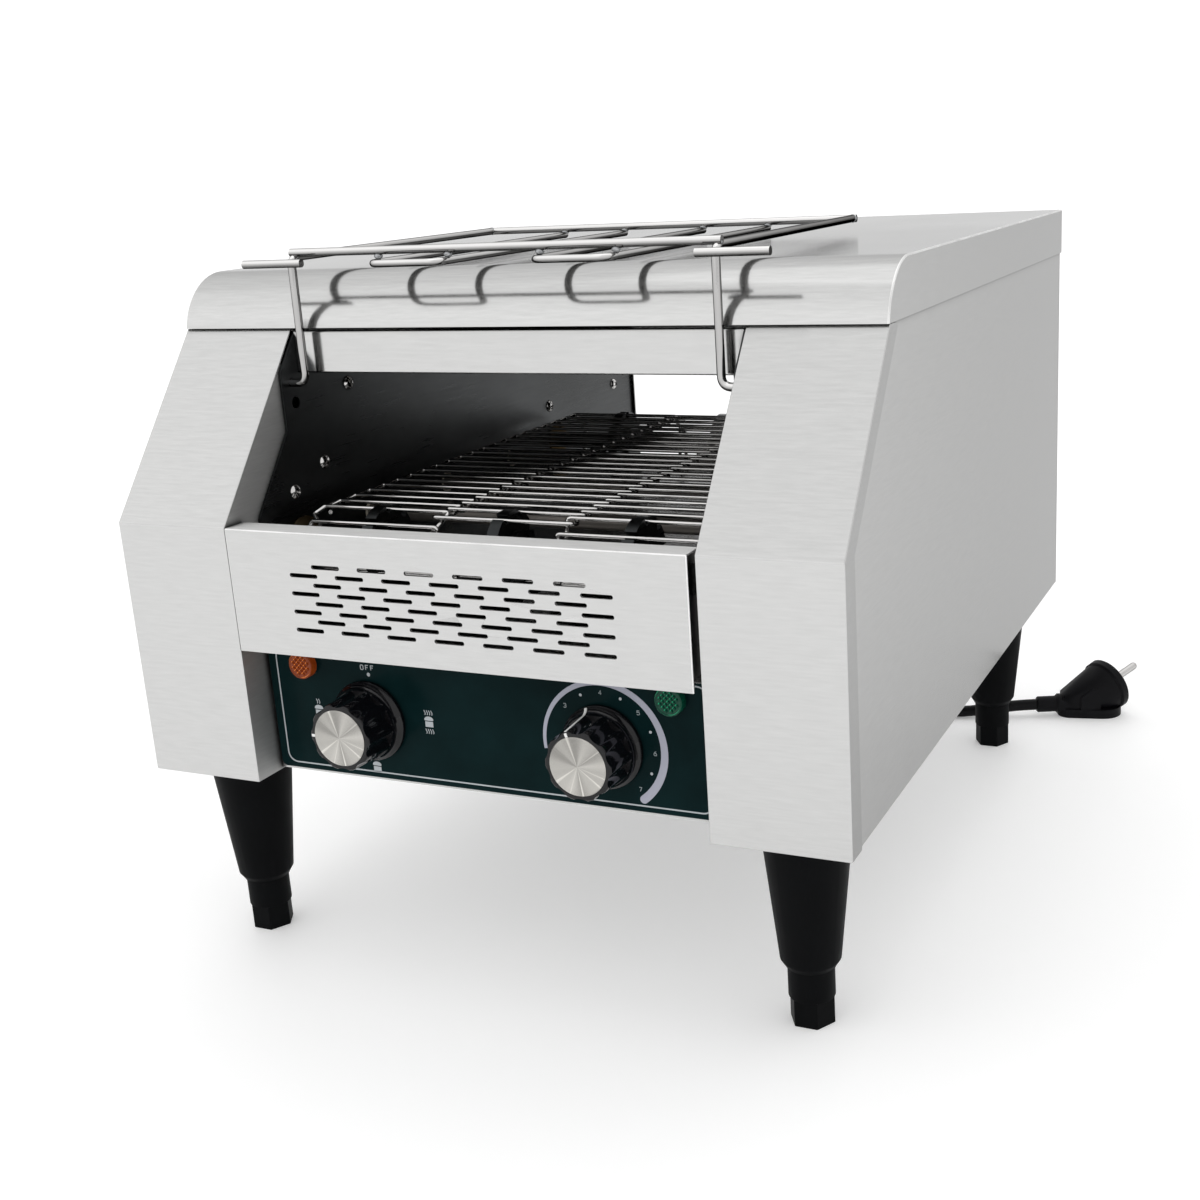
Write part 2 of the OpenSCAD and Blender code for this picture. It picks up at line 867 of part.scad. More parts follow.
module knob_shape() {
    skirt_r = knob_skirt_d / 2;
    grip_r = 17.2;
    rim_r = 16.4;
    flutes = 10;
    flute_r = 8;
    flute_depth = 1.3;
    flute_lean = 2.5;
    difference() {
        rotate_extrude($fn = 64)
            polygon([
                [0, 0], [skirt_r, 0], [skirt_r, 2], [skirt_r - 2, 5], [grip_r, 6],
                [rim_r, knob_len - 1.4], [rim_r - 1, knob_len - 0.6], [0, knob_len - 0.6]
            ]);
        // Hollow round the nut, the bore for the spindle, and the cap's seat
        translate([0, 0, -1]) cylinder(h = 5, r = 8);
        translate([0, 0, -1]) cylinder(h = 14.4, r = spindle_r);
        translate([0, 0, knob_len - 1.2]) cylinder(h = 2, r = cap_r);
        // Finger flutes that lean inwards with the side of the grip
        for (i = [0 : flutes - 1])
            rotate((i + 0.5) * 360 / flutes)
                translate([grip_r - flute_depth + flute_r, 0, 7])
                    rotate([0, -flute_lean, 0])
                        cylinder(h = knob_len, r = flute_r);
    }
}

module place_knob(x) at_body() translate([x, decal_y - knob_gap, knob_z]) rotate([90, 0, 0]) children();

module selector_knob() color(black) place_knob(-knob_x) knob_shape();
module speed_knob() color(black) place_knob(knob_x) knob_shape();
module knob_cap() translate([0, 0, knob_len - 1.2]) cylinder(h = 1.2, r = cap_r, $fn = 96);
module selector_knob_cap() color(chrome) place_knob(-knob_x) knob_cap();
module speed_knob_cap() color(chrome) place_knob(knob_x) knob_cap();

module lamp_lens(x) {
    r = 6.75;
    proud = 5;
    at_body() translate([x, decal_y, lamp_z])
        rotate([90, 0, 0])
            rotate_extrude()
                polygon([[0, 0], [r, 0], [r, proud - 1], [r - 1, proud], [0, proud]]);
}

module amber_lamp() color("darkorange") lamp_lens(-lamp_x);
module green_lamp() color("darkgreen") lamp_lens(lamp_x);

module lamp_holders() {
    color(black) at_body()
        for (x = [-lamp_x, lamp_x]) {
            rod_y(decal_y, panel_y + sheet, x, lamp_z, 5);
            rod_y(panel_y + sheet, panel_y + 24, x, lamp_z, 6.2);
        }
}

// ---------------------------------------------------------------- legs

module legs() {
    top_r = leg_top_d / 2;
    bolt_deep = 24;
    color(black) at_body()
        for (p = leg_spots)
            translate(p)
                rotate_extrude()
                    polygon([
                        [bolt_r, 0], [top_r, 0], [top_r, -3], [leg_low_r, -leg_taper],
                        [foot_r + 1, -foot_top + 0.6], [foot_r + 1, -foot_top],
                        [stud_r + bush_play, -foot_top],
                        [stud_r + bush_play, -foot_top + stud_l + 1], [bolt_r, -bolt_deep]
                    ]);
}

module leg_bolts() {
    color(chrome) at_body()
        for (p = leg_spots)
            translate(p) {
                translate([0, 0, -20]) cylinder(h = 20 + bolt_up, r = bolt_r);
                translate([0, 0, sheet]) cylinder(h = 6, r = 7.5, $fn = 6);
            }
}

module foot(k) {
    hex_h = 13;
    gap = 0.3;
    color(black) at_body() translate(leg_spots[k]) {
        translate([0, 0, -leg_h])
            cylinder(h = hex_h, r = foot_r, $fn = 6);
        translate([0, 0, -leg_h + hex_h])
            cylinder(h = leg_h - hex_h - foot_top - gap, r = foot_r);
        translate([0, 0, -foot_top - gap - 1])
            cylinder(h = stud_l, r = stud_r);
    }
}

module front_left_foot() foot(0);
module front_right_foot() foot(1);
module rear_left_foot() foot(2);
module rear_right_foot() foot(3);

// ---------------------------------------------------------------- rack

// A long U of wire that opens to the rear, its closed end at the front.
module hairpin(x0, x1, y0, y1, z, r) {
    bent_wire([[x0, y1, z], [x0, y0, z], [x1, y0, z], [x1, y1, z]], r, 7);
}

module warming_rack() {
    r = rack_wire / 2;
    thin = r - 0.25;
    bend = 5;
    rear = hook_y + rack_d;
    stub_out = 26;
    below = 2 * r - 0.5;
    color(chrome) at_body() {
        // Each leg with its end turned into the wall hole, and the side wire
        both_sides()
            bent_wire([
                [wall_out + 4, hook_y, hook_z], [rack_x, hook_y, hook_z],
                [rack_x, hook_y, rack_z], [rack_x, rear - 1, rack_z]
            ], r, bend);
        wire([-rack_x - 2, rear, rack_z], [rack_x + 2, rear, rack_z], r + 0.1);
        wire([-rack_x - 2, hook_y + 3, rack_z + 2], [rack_x + 2, hook_y + 3, rack_z + 2], r);
        both_sides()
            wire(
                [rack_x - 8, hook_y - 3, rack_z - 2.6],
                [rack_x + stub_out, hook_y - 3, rack_z - 2.6], r
            );
        hairpin(-62, -24, hook_y - 6, rear, rack_z - below, thin);
        hairpin(24, 62, hook_y - 6, rear, rack_z - below, thin);
    }
}

// ---------------------------------------------------------------- cord

module cable_gland() {
    color(black) at_body() translate([gland_x, body_d, gland_z]) rotate([-90, 0, 0]) {
        rotate_extrude()
            polygon([
                [cord_r, -sheet], [6, -sheet], [6, 0], [10, 0], [10, 3], [7.5, 4],
                [6, gland_l], [cord_r, gland_l]
            ]);
        translate([0, 0, -sheet - 3])
            difference() {
                cylinder(h = 3, r = 9, $fn = 6);
                translate([0, 0, -1]) cylinder(h = 5, r = cord_r);
            }
    }
}

// Unit direction of the route at its point i.
function along(p, i) =
    let (d = p[min(i + 1, len(p) - 1)] - p[max(i - 1, 0)]) d / norm(d);

// One ring of the tube: side is level, up is square to it and to the route.
function ring(p, i, r, sides) =
    let (
        t = along(p, i), flat = [t.y, -t.x, 0], l = norm(flat),
        side = l > 0.05 ? flat / l : [1, 0, 0], up = cross(side, t)
    )
    [for (k = [0 : sides - 1])
        p[i] + r * (cos(k * 360 / sides) * side + sin(k * 360 / sides) * up)];

module tube(p, r, sides) {
    n = len(p);
    points = [for (i = [0 : n - 1]) each ring(p, i, r, sides)];
    walls = [for (i = [0 : n - 2], k = [0 : sides - 1])
        let (a = i * sides + k, b = i * sides + (k + 1) % sides)
        each [[a, b, b + sides], [a, b + sides, a + sides]]];
    start = [for (k = [sides - 1 : -1 : 0]) k];
    end = [for (k = [0 : sides - 1]) (n - 1) * sides + k];
    polyhedron(points, concat([start], walls, [end]));
}

module power_cord() color(black) at_rear() tube(cord_route, cord_r, cord_sides);
module cord_tail() color(black) at_rear() tube(tail_route, cord_r, cord_sides);

module cord_coil() {
    color(black) at_rear() translate([coil_at.x, coil_at.y, coil_half])
        rotate_extrude()
            translate([coil_r - coil_half, -coil_half])
                square(2 * coil_half);
}

// The plug lies on the table, its pins pointing up and away.
module at_plug() at_rear() translate(plug_at) rotate([0, 0, plug_turn]) children();

plug_face = [48, 4, 10.4];
plug_lean = [-30, 70, 0];
plug_r = 18;
relief_l = 22;
pin_pitch = 19;
pin_turn = -28;

module mains_plug() {
    back = 10;
    band_h = 6;
    color(black) at_plug() {
        // Strain relief in two steps
        rotate([0, 90, 0])
            rotate_extrude()
                polygon([
                    [0, 0], [4.8, 0], [5.4, 0.8], [5.4, 12.5], [6.8, 14], [6.8, relief_l],
                    [0, relief_l]
                ]);
        // Grip between the strain relief and the face
        hull() {
            translate([relief_l - 5, -6, -7]) cube([5, 12, 14]);
            translate(plug_face) rotate(plug_lean) translate([0, 0, -back])
                cylinder(h = back - 2, r1 = plug_r - 4, r2 = plug_r - 1, $fn = 32);
        }
        // Band along the floor, wider than the grip
        translate([0, 0, -plug_at.z])
            linear_extrude(band_h)
                hull() {
                    translate([relief_l + 1, 0]) circle(r = 8.5);
                    translate([plug_face.x - 4, 0]) circle(r = 13);
                }
        // Raised rest for the thumb
        hull() {
            translate([28, -10, -2]) cube([6, 10, 9]);
            translate([36, -11, -2]) cube([5, 11, 15]);
        }
        // Face with a chamfered rim and a notch at each side
        translate(plug_face) rotate(plug_lean) rotate(pin_turn)
            difference() {
                rotate_extrude()
                    polygon([
                        [0, -3], [plug_r - 1, -3], [plug_r, -2], [plug_r, 2.2],
                        [plug_r - 0.8, 3], [0, 3]
                    ]);
                for (side = [-1, 1])
                    translate([side * (plug_r + 1), 0, -4]) cylinder(h = 8, r = 3);
            }
    }
}

module plug_pins() {
    color(chrome) at_plug() translate(plug_face) rotate(plug_lean) rotate(pin_turn)
        for (s = [-1, 1])
            translate([0, s * pin_pitch / 2, 3]) {
                cylinder(h = 17, r = 2.4);
                translate([0, 0, 17]) sphere(r = 2.4);
            }
}

// ---------------------------------------------------------------- drawing

top_cover();
left_side_panel();
right_side_panel();
left_front_column();
right_front_column();
left_inner_wall();
right_inner_wall();
base_plate();
rear_panel();
front_lintel();
front_guard();
control_panel();
control_decal();
exit_chute();
crumb_tray();
upper_reflector();
lower_reflector();
upper_heaters();
lower_heaters();
heater_insulators();
wall_screws();
conveyor_belt();
drive_shaft();
drive_sprockets();
idler_shaft();
idler_sprockets();
shaft_bushes();
shaft_chain_wheel();
motor_chain_wheel();
drive_chain();
gear_motor();
motor_standoffs();
selector_switch();
speed_control();
speed_board();
terminal_block();
selector_spindle();
speed_spindle();
selector_knob();
speed_knob();
selector_knob_cap();
speed_knob_cap();
amber_lamp();
green_lamp();
lamp_holders();
legs();
leg_bolts();
front_left_foot();
front_right_foot();
rear_left_foot();
rear_right_foot();
warming_rack();
cable_gland();
power_cord();
cord_coil();
cord_tail();
mains_plug();
plug_pins();
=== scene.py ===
"""Looks of the counter-top conveyor toaster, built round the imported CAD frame. Metres, +Z up, front -Y."""

import json
import math

import bmesh
import bpy
from mathutils import Matrix, Vector


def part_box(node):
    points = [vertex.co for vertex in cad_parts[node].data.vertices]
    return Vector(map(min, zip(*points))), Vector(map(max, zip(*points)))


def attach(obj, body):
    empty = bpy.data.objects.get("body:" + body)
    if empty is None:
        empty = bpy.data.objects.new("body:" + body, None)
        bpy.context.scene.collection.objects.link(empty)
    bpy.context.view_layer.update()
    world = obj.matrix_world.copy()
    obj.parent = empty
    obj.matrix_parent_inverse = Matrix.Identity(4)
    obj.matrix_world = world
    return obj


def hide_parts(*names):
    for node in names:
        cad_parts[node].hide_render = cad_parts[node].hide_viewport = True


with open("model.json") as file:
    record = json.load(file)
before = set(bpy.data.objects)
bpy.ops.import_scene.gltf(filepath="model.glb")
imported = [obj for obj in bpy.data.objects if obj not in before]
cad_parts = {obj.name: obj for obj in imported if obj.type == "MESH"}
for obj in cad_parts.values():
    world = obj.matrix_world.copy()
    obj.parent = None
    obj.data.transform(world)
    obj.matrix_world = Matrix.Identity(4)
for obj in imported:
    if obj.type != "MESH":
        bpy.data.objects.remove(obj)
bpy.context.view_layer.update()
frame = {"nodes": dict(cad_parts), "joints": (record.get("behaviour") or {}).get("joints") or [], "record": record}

MM = 0.001
SAME_POINT = 2e-6
NODES = frame["nodes"]

# Places that the frame gives: the columns' face, the body's underside, the rear panel, the panel's
# overlay and the joints.
FACE_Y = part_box("left_front_column")[0].y
BODY_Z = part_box("base_plate")[0].z
REAR_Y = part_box("rear_panel")[1].y
DECAL_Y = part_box("control_decal")[0].y
JOINT_AT = {j["name"]: Vector(j["pos_m"]) for j in frame["joints"] if "pos_m" in j}


def at(x, y, z):
    """A point of the body in millimetres: from its middle, its front and its underside."""
    return Vector((x * MM, FACE_Y + y * MM, BODY_Z + z * MM))


# ---------------------------------------------------------------- camera

# Fitted to the body's corners and edges in the photograph, with a smaller shift than the best fit has.
IMAGE_SIDE = 1200
FOCAL_PIXELS = 1551.6
PRINCIPAL_X = 690
CAMERA_AT = Vector((0.3700, -0.7726, 0.3821))
YAW, PITCH, ROLL = -0.4266, 0.2805, -0.0555


def make_camera():
    data = bpy.data.cameras.new("camera")
    data.sensor_width = 36
    data.lens = FOCAL_PIXELS * data.sensor_width / IMAGE_SIDE
    data.shift_x = 0.5 - PRINCIPAL_X / IMAGE_SIDE
    data.clip_start = 0.01
    forward = Vector((math.sin(YAW) * math.cos(PITCH), math.cos(YAW) * math.cos(PITCH), -math.sin(PITCH)))
    level = Vector((math.cos(YAW), -math.sin(YAW), 0))
    upright = level.cross(forward)
    right = level * math.cos(ROLL) + upright * math.sin(ROLL)
    up = upright * math.cos(ROLL) - level * math.sin(ROLL)
    camera = bpy.data.objects.new("camera", data)
    camera.matrix_world = Matrix.Translation(CAMERA_AT) @ Matrix((right, up, -forward)).transposed().to_4x4()
    bpy.context.scene.collection.objects.link(camera)
    bpy.context.scene.camera = camera


make_camera()


# ---------------------------------------------------------------- making pieces

def add(name, data, body, material, slot, replaces=(), origin=(0, 0, 0)):
    """A new piece that rides on a body, stands for CAD nodes and takes a material."""
    piece = bpy.data.objects.new(name, data)
    piece.location = origin
    bpy.context.scene.collection.objects.link(piece)
    data.materials.append(material)
    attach(piece, body)
    if replaces:
        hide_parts(*replaces)
    return piece


def around(middle, radius, degrees):
    """The point that far from the middle, counter-clockwise from +X."""
    angle = math.radians(degrees)
    return middle[0] + radius * math.cos(angle), middle[1] + radius * math.sin(angle)


def mesh_from(name, bm, smooth_angle=35):
    """A mesh from bm, smooth where its faces meet at less than the angle."""
    bmesh.ops.recalc_face_normals(bm, faces=bm.faces)
    for edge in bm.edges:
        edge.smooth = len(edge.link_faces) == 2 and edge.calc_face_angle(0) < math.radians(smooth_angle)
    for face in bm.faces:
        face.smooth = True
    mesh = bpy.data.meshes.new(name)
    bm.to_mesh(mesh)
    bm.free()
    return mesh


def wire_curve(name, paths, radius, sides):
    """Round wires of one radius through lists of points."""
    curve = bpy.data.curves.new(name, "CURVE")
    curve.dimensions = "3D"
    curve.bevel_depth = radius
    curve.bevel_resolution = sides
    curve.use_fill_caps = True
    for path in paths:
        spline = curve.splines.new("POLY")
        spline.points.add(len(path) - 1)
        for point, place in zip(spline.points, path):
            point.co = (*place, 1)
        spline.use_smooth = True
    return curve


def rounded(points, bend, steps):
    """The same path with a curve of radius bend, or as much as fits, at each inner point."""
    least_turn, most_of_side = 0.02, 0.49
    path = [points[0]]
    for before, corner, after in zip(points, points[1:], points[2:]):
        u = (corner - before).normalized()
        v = (after - corner).normalized()
        turn = u.angle(v, 0)
        if turn < least_turn:
            path.append(corner)
            continue
        room = most_of_side * min((corner - before).length, (after - corner).length)
        cut = min(bend * math.tan(turn / 2), room)
        start, end = corner - u * cut, corner + v * cut
        for k in range(steps + 1):
            t = k / steps
            path.append(start * (1 - t) ** 2 + corner * (2 * t * (1 - t)) + end * t ** 2)
    path.append(points[-1])
    return path


def weigh_normals(piece):
    """Flat faces keep flat shading right up to their rounded edges."""
    weights = piece.modifiers.new("weights", "WEIGHTED_NORMAL")
    weights.keep_sharp = True
    weights.weight = 100


def join_rings(bm, low, high, sectors):
    """Faces between two closed rings of corners, where a ring may also be a single corner."""
    for k in range(sectors):
        n = k + 1
        corners = (low[k % len(low)], low[n % len(low)], high[n % len(high)], high[k % len(high)])
        bm.faces.new(dict.fromkeys(corners))


def revolved(profile, sectors, carve=None):
    """A closed body round Z from (radius, height) pairs in millimetres, with both ends on the axis.

    carve(angle, height) says how far out the body may go there.
    """
    bm = bmesh.new()
    rings = []
    for radius, height in profile:
        ring = []
        for k in range(sectors if radius else 1):
            angle = 2 * math.pi * k / sectors
            reach = min(radius, carve(angle, height)) if carve else radius
            corner = (reach * math.cos(angle), reach * math.sin(angle), height)
            ring.append(bm.verts.new([c * MM for c in corner]))
        rings.append(ring)
    for low, high in zip(rings, rings[1:]):
        join_rings(bm, low, high, sectors)
    return bm


def plank(bm, sections):
    """A closed strip through sections of four corners each."""
    rows = [[bm.verts.new(corner) for corner in section] for section in sections]
    for low, high in zip(rows, rows[1:]):
        join_rings(bm, low, high, 4)
    bm.faces.new(rows[0][::-1])
    bm.faces.new(rows[-1])


# Turns +Z to the front, so that a knob's own x and y are right and up as seen from there.
FACING = Matrix.Rotation(math.pi / 2, 4, "X")


# ---------------------------------------------------------------- cord

CORD_D = 7.6 * MM
CORD_LIFT = CORD_D / 2 + 0.05 * MM
# The CAD's own routes to the coil and from it, in metres: from the middle, the rear panel and the floor.
CORD_ROUTE = [
    (-0.145, 0.024, 0.122), (-0.145, 0.036, 0.122), (-0.145, 0.0464, 0.1206), (-0.145, 0.056, 0.1166),
    (-0.145, 0.0643, 0.1103), (-0.145, 0.0706, 0.102), (-0.145, 0.0746, 0.0924), (-0.145, 0.076, 0.082),
    (-0.145, 0.076, 0.062), (-0.145, 0.076, 0.042), (-0.1444, 0.0771, 0.032), (-0.1425, 0.0804, 0.0228),
    (-0.1394, 0.0856, 0.0149), (-0.1355, 0.0925, 0.0089), (-0.1309, 0.1004, 0.0051),
    (-0.126, 0.1089, CORD_LIFT), (-0.1194, 0.1172, CORD_LIFT), (-0.1108, 0.1233, CORD_LIFT),
    (-0.1007, 0.1266, CORD_LIFT), (-0.0901, 0.1269, CORD_LIFT), (-0.0799, 0.1242, CORD_LIFT),
    (-0.0709, 0.1186, CORD_LIFT), (-0.0638, 0.1107, CORD_LIFT), (-0.0593, 0.1011, CORD_LIFT),
    (-0.0578, 0.0906, CORD_LIFT), (-0.0578, 0.077, CORD_LIFT), (-0.0578, 0.066, CORD_LIFT),
]
TAIL_ROUTE = [
    (0.004, 0.0082, 0.0106), (0.016, 0.0076, 0.0082), (0.028, 0.0064, 0.0054), (0.040, 0.0040, 0.0040),
    (0.054, 0.0004, CORD_LIFT), (0.068, -0.0040, CORD_LIFT), (0.082, -0.0084, CORD_LIFT),
    (0.096, -0.0116, CORD_LIFT), (0.110, -0.0126, CORD_LIFT), (0.122, -0.0114, 0.0040),
    (0.134, -0.0080, 0.0050), (0.146, -0.0036, 0.0064), (0.158, 0.0006, 0.0075), (0.170, 0.0048, 0.0080),
]
COIL_R = 0.044
COIL_AT = Vector((-0.010, 0.056, 0))
COIL_TURNS = 3.25
COIL_STEPS = 28


def ease(t, start, end):
    """0 before start, 1 after end, and a smooth rise between them."""
    t = min(1, max(0, (t - start) / (end - start)))
    return t * t * (3 - 2 * t)


def coil_points():
    """Nearly two turns on the floor, the outer one first, and the rest on top of them."""
    outer, inner = COIL_R + CORD_D / 2, COIL_R - CORD_D / 2
    low, high = CORD_LIFT, CORD_D * 1.5
    points = []
    for k in range(int(COIL_TURNS * COIL_STEPS) + 1):
        turn = k / COIL_STEPS
        radius = outer + (inner - outer) * (ease(turn, 0.85, 1.15) - ease(turn, 2.35, 2.7))
        angle = math.pi + 2 * math.pi * turn
        height = low + (high - low) * ease(turn, 1.6, 2.0)
        points.append(COIL_AT + Vector((radius * math.cos(angle), radius * math.sin(angle), height)))
    return points


def path_length(points):
    return sum((b - a).length for a, b in zip(points, points[1:]))


def smooth_path(points):
    """A path through the same points, with one between each two of them on a Catmull-Rom spline."""
    ends = [points[0] * 2 - points[1], *points, points[-1] * 2 - points[-2]]
    finer = []
    for a, b, c, d in zip(ends, ends[1:], ends[2:], ends[3:]):
        finer += [b, (b + c) / 2 + (b + c - a - d) / 16]
    return finer + [points[-1]]


def cord_line():
    """The whole cord, in three stretches that meet end to end."""
    away = Vector((0, REAR_Y, 0))
    points = [Vector(p) for p in CORD_ROUTE] + coil_points() + [Vector(p) for p in TAIL_ROUTE]
    return smooth_path([p + away for p in points])


# ---------------------------------------------------------------- materials

class Shader:
    """A Principled material with short ways to add and wire its nodes."""

    def __init__(self, name, color, metallic=0.0, roughness=0.5, **sockets):
        self.material = bpy.data.materials.new(name)
        self.material.use_nodes = True
        self.tree = self.material.node_tree
        self.surface = self.tree.nodes["Principled BSDF"]
        self.surface.inputs["Base Color"].default_value = (*color, 1)
        self.surface.inputs["Metallic"].default_value = metallic
        self.surface.inputs["Roughness"].default_value = roughness
        for socket, value in sockets.items():
            self.surface.inputs[socket.replace("_", " ")].default_value = value
        self.place = self.node("ShaderNodeTexCoord").outputs["Object"]

    def node(self, kind, **values):
        made = self.tree.nodes.new(kind)
        for name, value in values.items():
            setattr(made, name, value)
        return made

    def link(self, source, target):
        self.tree.links.new(source, target)

    def noise(self, scale, stretch=(1, 1, 1), detail=2, roughness=0.5):
        """Noise in the object's own space, scale in turns a metre, stretched along the axes."""
        mapping = self.node("ShaderNodeMapping")
        mapping.inputs["Scale"].default_value = stretch
        self.link(self.place, mapping.inputs["Vector"])
        texture = self.node("ShaderNodeTexNoise")
        texture.inputs["Scale"].default_value = scale
        texture.inputs["Detail"].default_value = detail
        texture.inputs["Roughness"].default_value = roughness
        self.link(mapping.outputs["Vector"], texture.inputs["Vector"])
        return texture.outputs["Fac"]

    def spread(self, value, low, high, start=0.3, end=0.7):
        """value from start to end, spread over low to high."""
        remap = self.node("ShaderNodeMapRange")
        for name, number in (("From Min", start), ("From Max", end), ("To Min", low), ("To Max", high)):
            remap.inputs[name].default_value = number
        self.link(value, remap.inputs["Value"])
        return remap.outputs["Result"]

    def mix(self, factor, low, high):
        """A number between two others."""
        mixer = self.node("ShaderNodeMix")
        for socket, value in ((0, factor), (2, low), (3, high)):
            if hasattr(value, "links"):
                self.link(value, mixer.inputs[socket])
            else:
                mixer.inputs[socket].default_value = value
        return mixer.outputs[0]

    def tint(self, factor, low, high):
        """A colour between two others."""
        mixer = self.node("ShaderNodeMix", data_type="RGBA")
        self.link(factor, mixer.inputs[0])
        mixer.inputs[6].default_value = (*low, 1)
        mixer.inputs[7].default_value = (*high, 1)
        return mixer.outputs[2]

    def looks_at(self, direction):
        """How far the surface looks in a direction: 1 straight at it, 0 sideways, -1 away."""
        toward = self.node("ShaderNodeVectorMath", operation="DOT_PRODUCT")
        self.link(self.node("ShaderNodeNewGeometry").outputs["Normal"], toward.inputs[0])
        toward.inputs[1].default_value = direction
        return toward.outputs["Value"]

    def rough(self, value, low, high):
        self.link(self.spread(value, low, high), self.surface.inputs["Roughness"])

    def paint(self, value, low, high):
        self.link(self.tint(self.spread(value, 0, 1), low, high), self.surface.inputs["Base Color"])

    def bump(self, value, depth, strength=1.0):
        bump = self.node("ShaderNodeBump")
        bump.inputs["Distance"].default_value = depth
        bump.inputs["Strength"].default_value = strength
        self.link(value, bump.inputs["Height"])
        self.link(bump.outputs["Normal"], self.surface.inputs["Normal"])


def shade(color, factor):
    return tuple(c * factor for c in color)


# Brushed sheet: brush lines a metre, the share of that along the brushing, their depth, and how far the
# painted shade of a seam reaches onto the sheet beside it.
BRUSH_GRAIN = 750
BRUSH_RUN = 0.09
BRUSH_DEPTH = 0.000006
SEAM_REACH = 0.004


def paint_seam_shade(shader, tone):
    """tone with painted shade: darker where another surface is close by, in seams and narrow corners."""
    seams = shader.node("ShaderNodeAmbientOcclusion", samples=8)
    seams.inputs["Distance"].default_value = SEAM_REACH
    open_air = shader.spread(seams.outputs["AO"], 0.12, 1, 0.5, 0.95)
    seam_shaded = shader.node("ShaderNodeMix", data_type="RGBA", blend_type="MULTIPLY")
    seam_shaded.inputs[0].default_value = 1
    shader.link(tone, seam_shaded.inputs[6])
    shader.link(open_air, seam_shaded.inputs[7])
    return seam_shaded.outputs[2]


def brushed_steel(name, color, roughness, contrast=0.045):
    """Sheet with fine level brush lines: along X, and along Y on the faces that look sideways."""
    shader = Shader(name, color, metallic=1.0, roughness=roughness, Anisotropic=0.6,
                    Anisotropic_Rotation=0.25, Specular_Tint=(0.55, 0.55, 0.55, 1))
    across = shader.noise(BRUSH_GRAIN, (BRUSH_RUN, 1, 1), detail=4, roughness=0.65)
    sideways = shader.noise(BRUSH_GRAIN, (1, BRUSH_RUN, 1), detail=5, roughness=0.7)
    size = shader.node("ShaderNodeMath", operation="ABSOLUTE")
    shader.link(shader.looks_at((1, 0, 0)), size.inputs[0])
    looks_sideways = shader.spread(size.outputs[0], 0, 1, 0.65, 0.75)
    lines = shader.mix(looks_sideways, across, sideways)
    tone = shader.tint(shader.spread(lines, 0, 1), shade(color, 1 - contrast), shade(color, 1 + contrast))
    # Painted shade in seams and narrow corners darkens the brushed tone.
    shader.link(paint_seam_shade(shader, tone), shader.surface.inputs["Base Color"])
    cloud = shader.noise(7, detail=3)
    blend = shader.mix(0.5, lines, cloud)
    shader.rough(blend, roughness - 0.03, roughness + 0.04)
    shader.bump(lines, BRUSH_DEPTH, 0.3)
    tangent = shader.node("ShaderNodeCombineXYZ")
    shader.link(shader.mix(looks_sideways, 1.0, 0.0), tangent.inputs["X"])
    shader.link(looks_sideways, tangent.inputs["Y"])
    shader.link(tangent.outputs[0], shader.surface.inputs["Tangent"])
    return shader.material


def dull_steel(name, color, roughness):
    """Heat-darkened sheet: cloudy, with faint level rolling marks."""
    shader = Shader(name, color, metallic=1.0, roughness=roughness)
    cloud = shader.noise(14, (1, 1, 2), detail=5, roughness=0.6)
    shader.paint(cloud, shade(color, 0.75), shade(color, 1.3))
    marks = shader.noise(700, (0.05, 0.05, 1), detail=2)
    shader.rough(shader.mix(0.5, marks, cloud), roughness - 0.08, roughness + 0.1)
    shader.bump(marks, 0.00002, 0.4)
    return shader.material


def scratched(name, color, roughness, rim=0.04):
    """Bare bright metal with fine scratches and a few duller patches; rim is its brightness seen edge-on."""
    shader = Shader(name, color, metallic=1.0, roughness=roughness, Specular_Tint=(rim, rim, rim, 1))
    patches = shader.noise(45, detail=3)
    shader.rough(patches, roughness * 0.6, roughness * 1.8)
    shader.bump(shader.noise(1500, detail=2), 0.00001, 0.25)
    return shader, patches


def bright_wire(name, color, roughness, rim=0.04):
    """Drawn wire or plain bright metal of one colour."""
    shader, patches = scratched(name, color, roughness, rim)
    shader.paint(patches, shade(color, 0.8), shade(color, 1.08))
    return shader.material


def painted_reflection_wire(name, color, roughness):
    """Polished wire with a painted reflection: its colour is painted lighter where it looks up and to the front,
    and darker at its sides and below.
    """
    shader, patches = scratched(name, color, roughness)
    # Painted reflection: the colour follows which way the surface looks, lighter up and to the front.
    room = shader.spread(shader.looks_at((0.1, -0.35, 0.93)), 0, 1, 0, 0.85)
    tone = shader.tint(shader.mix(0.1, room, patches), shade(color, 0.3), shade(color, 1.7))
    shader.link(tone, shader.surface.inputs["Base Color"])
    return shader.material


def moulded(name, color, roughness, gloss=0.5, grain=2500, depth=0.00003, speck=0.25):
    """Moulded plastic or rubber: a fine grain, and a faint change of tone."""
    shader = Shader(name, color, roughness=roughness)
    shader.surface.inputs["Specular IOR Level"].default_value = gloss
    tone = shader.noise(35, detail=4)
    shader.paint(tone, shade(color, 1 - speck), shade(color, 1 + speck))
    shader.rough(tone, roughness * 0.85, roughness * 1.15)
    shader.bump(shader.noise(grain, detail=2), depth, 0.5)
    return shader.material


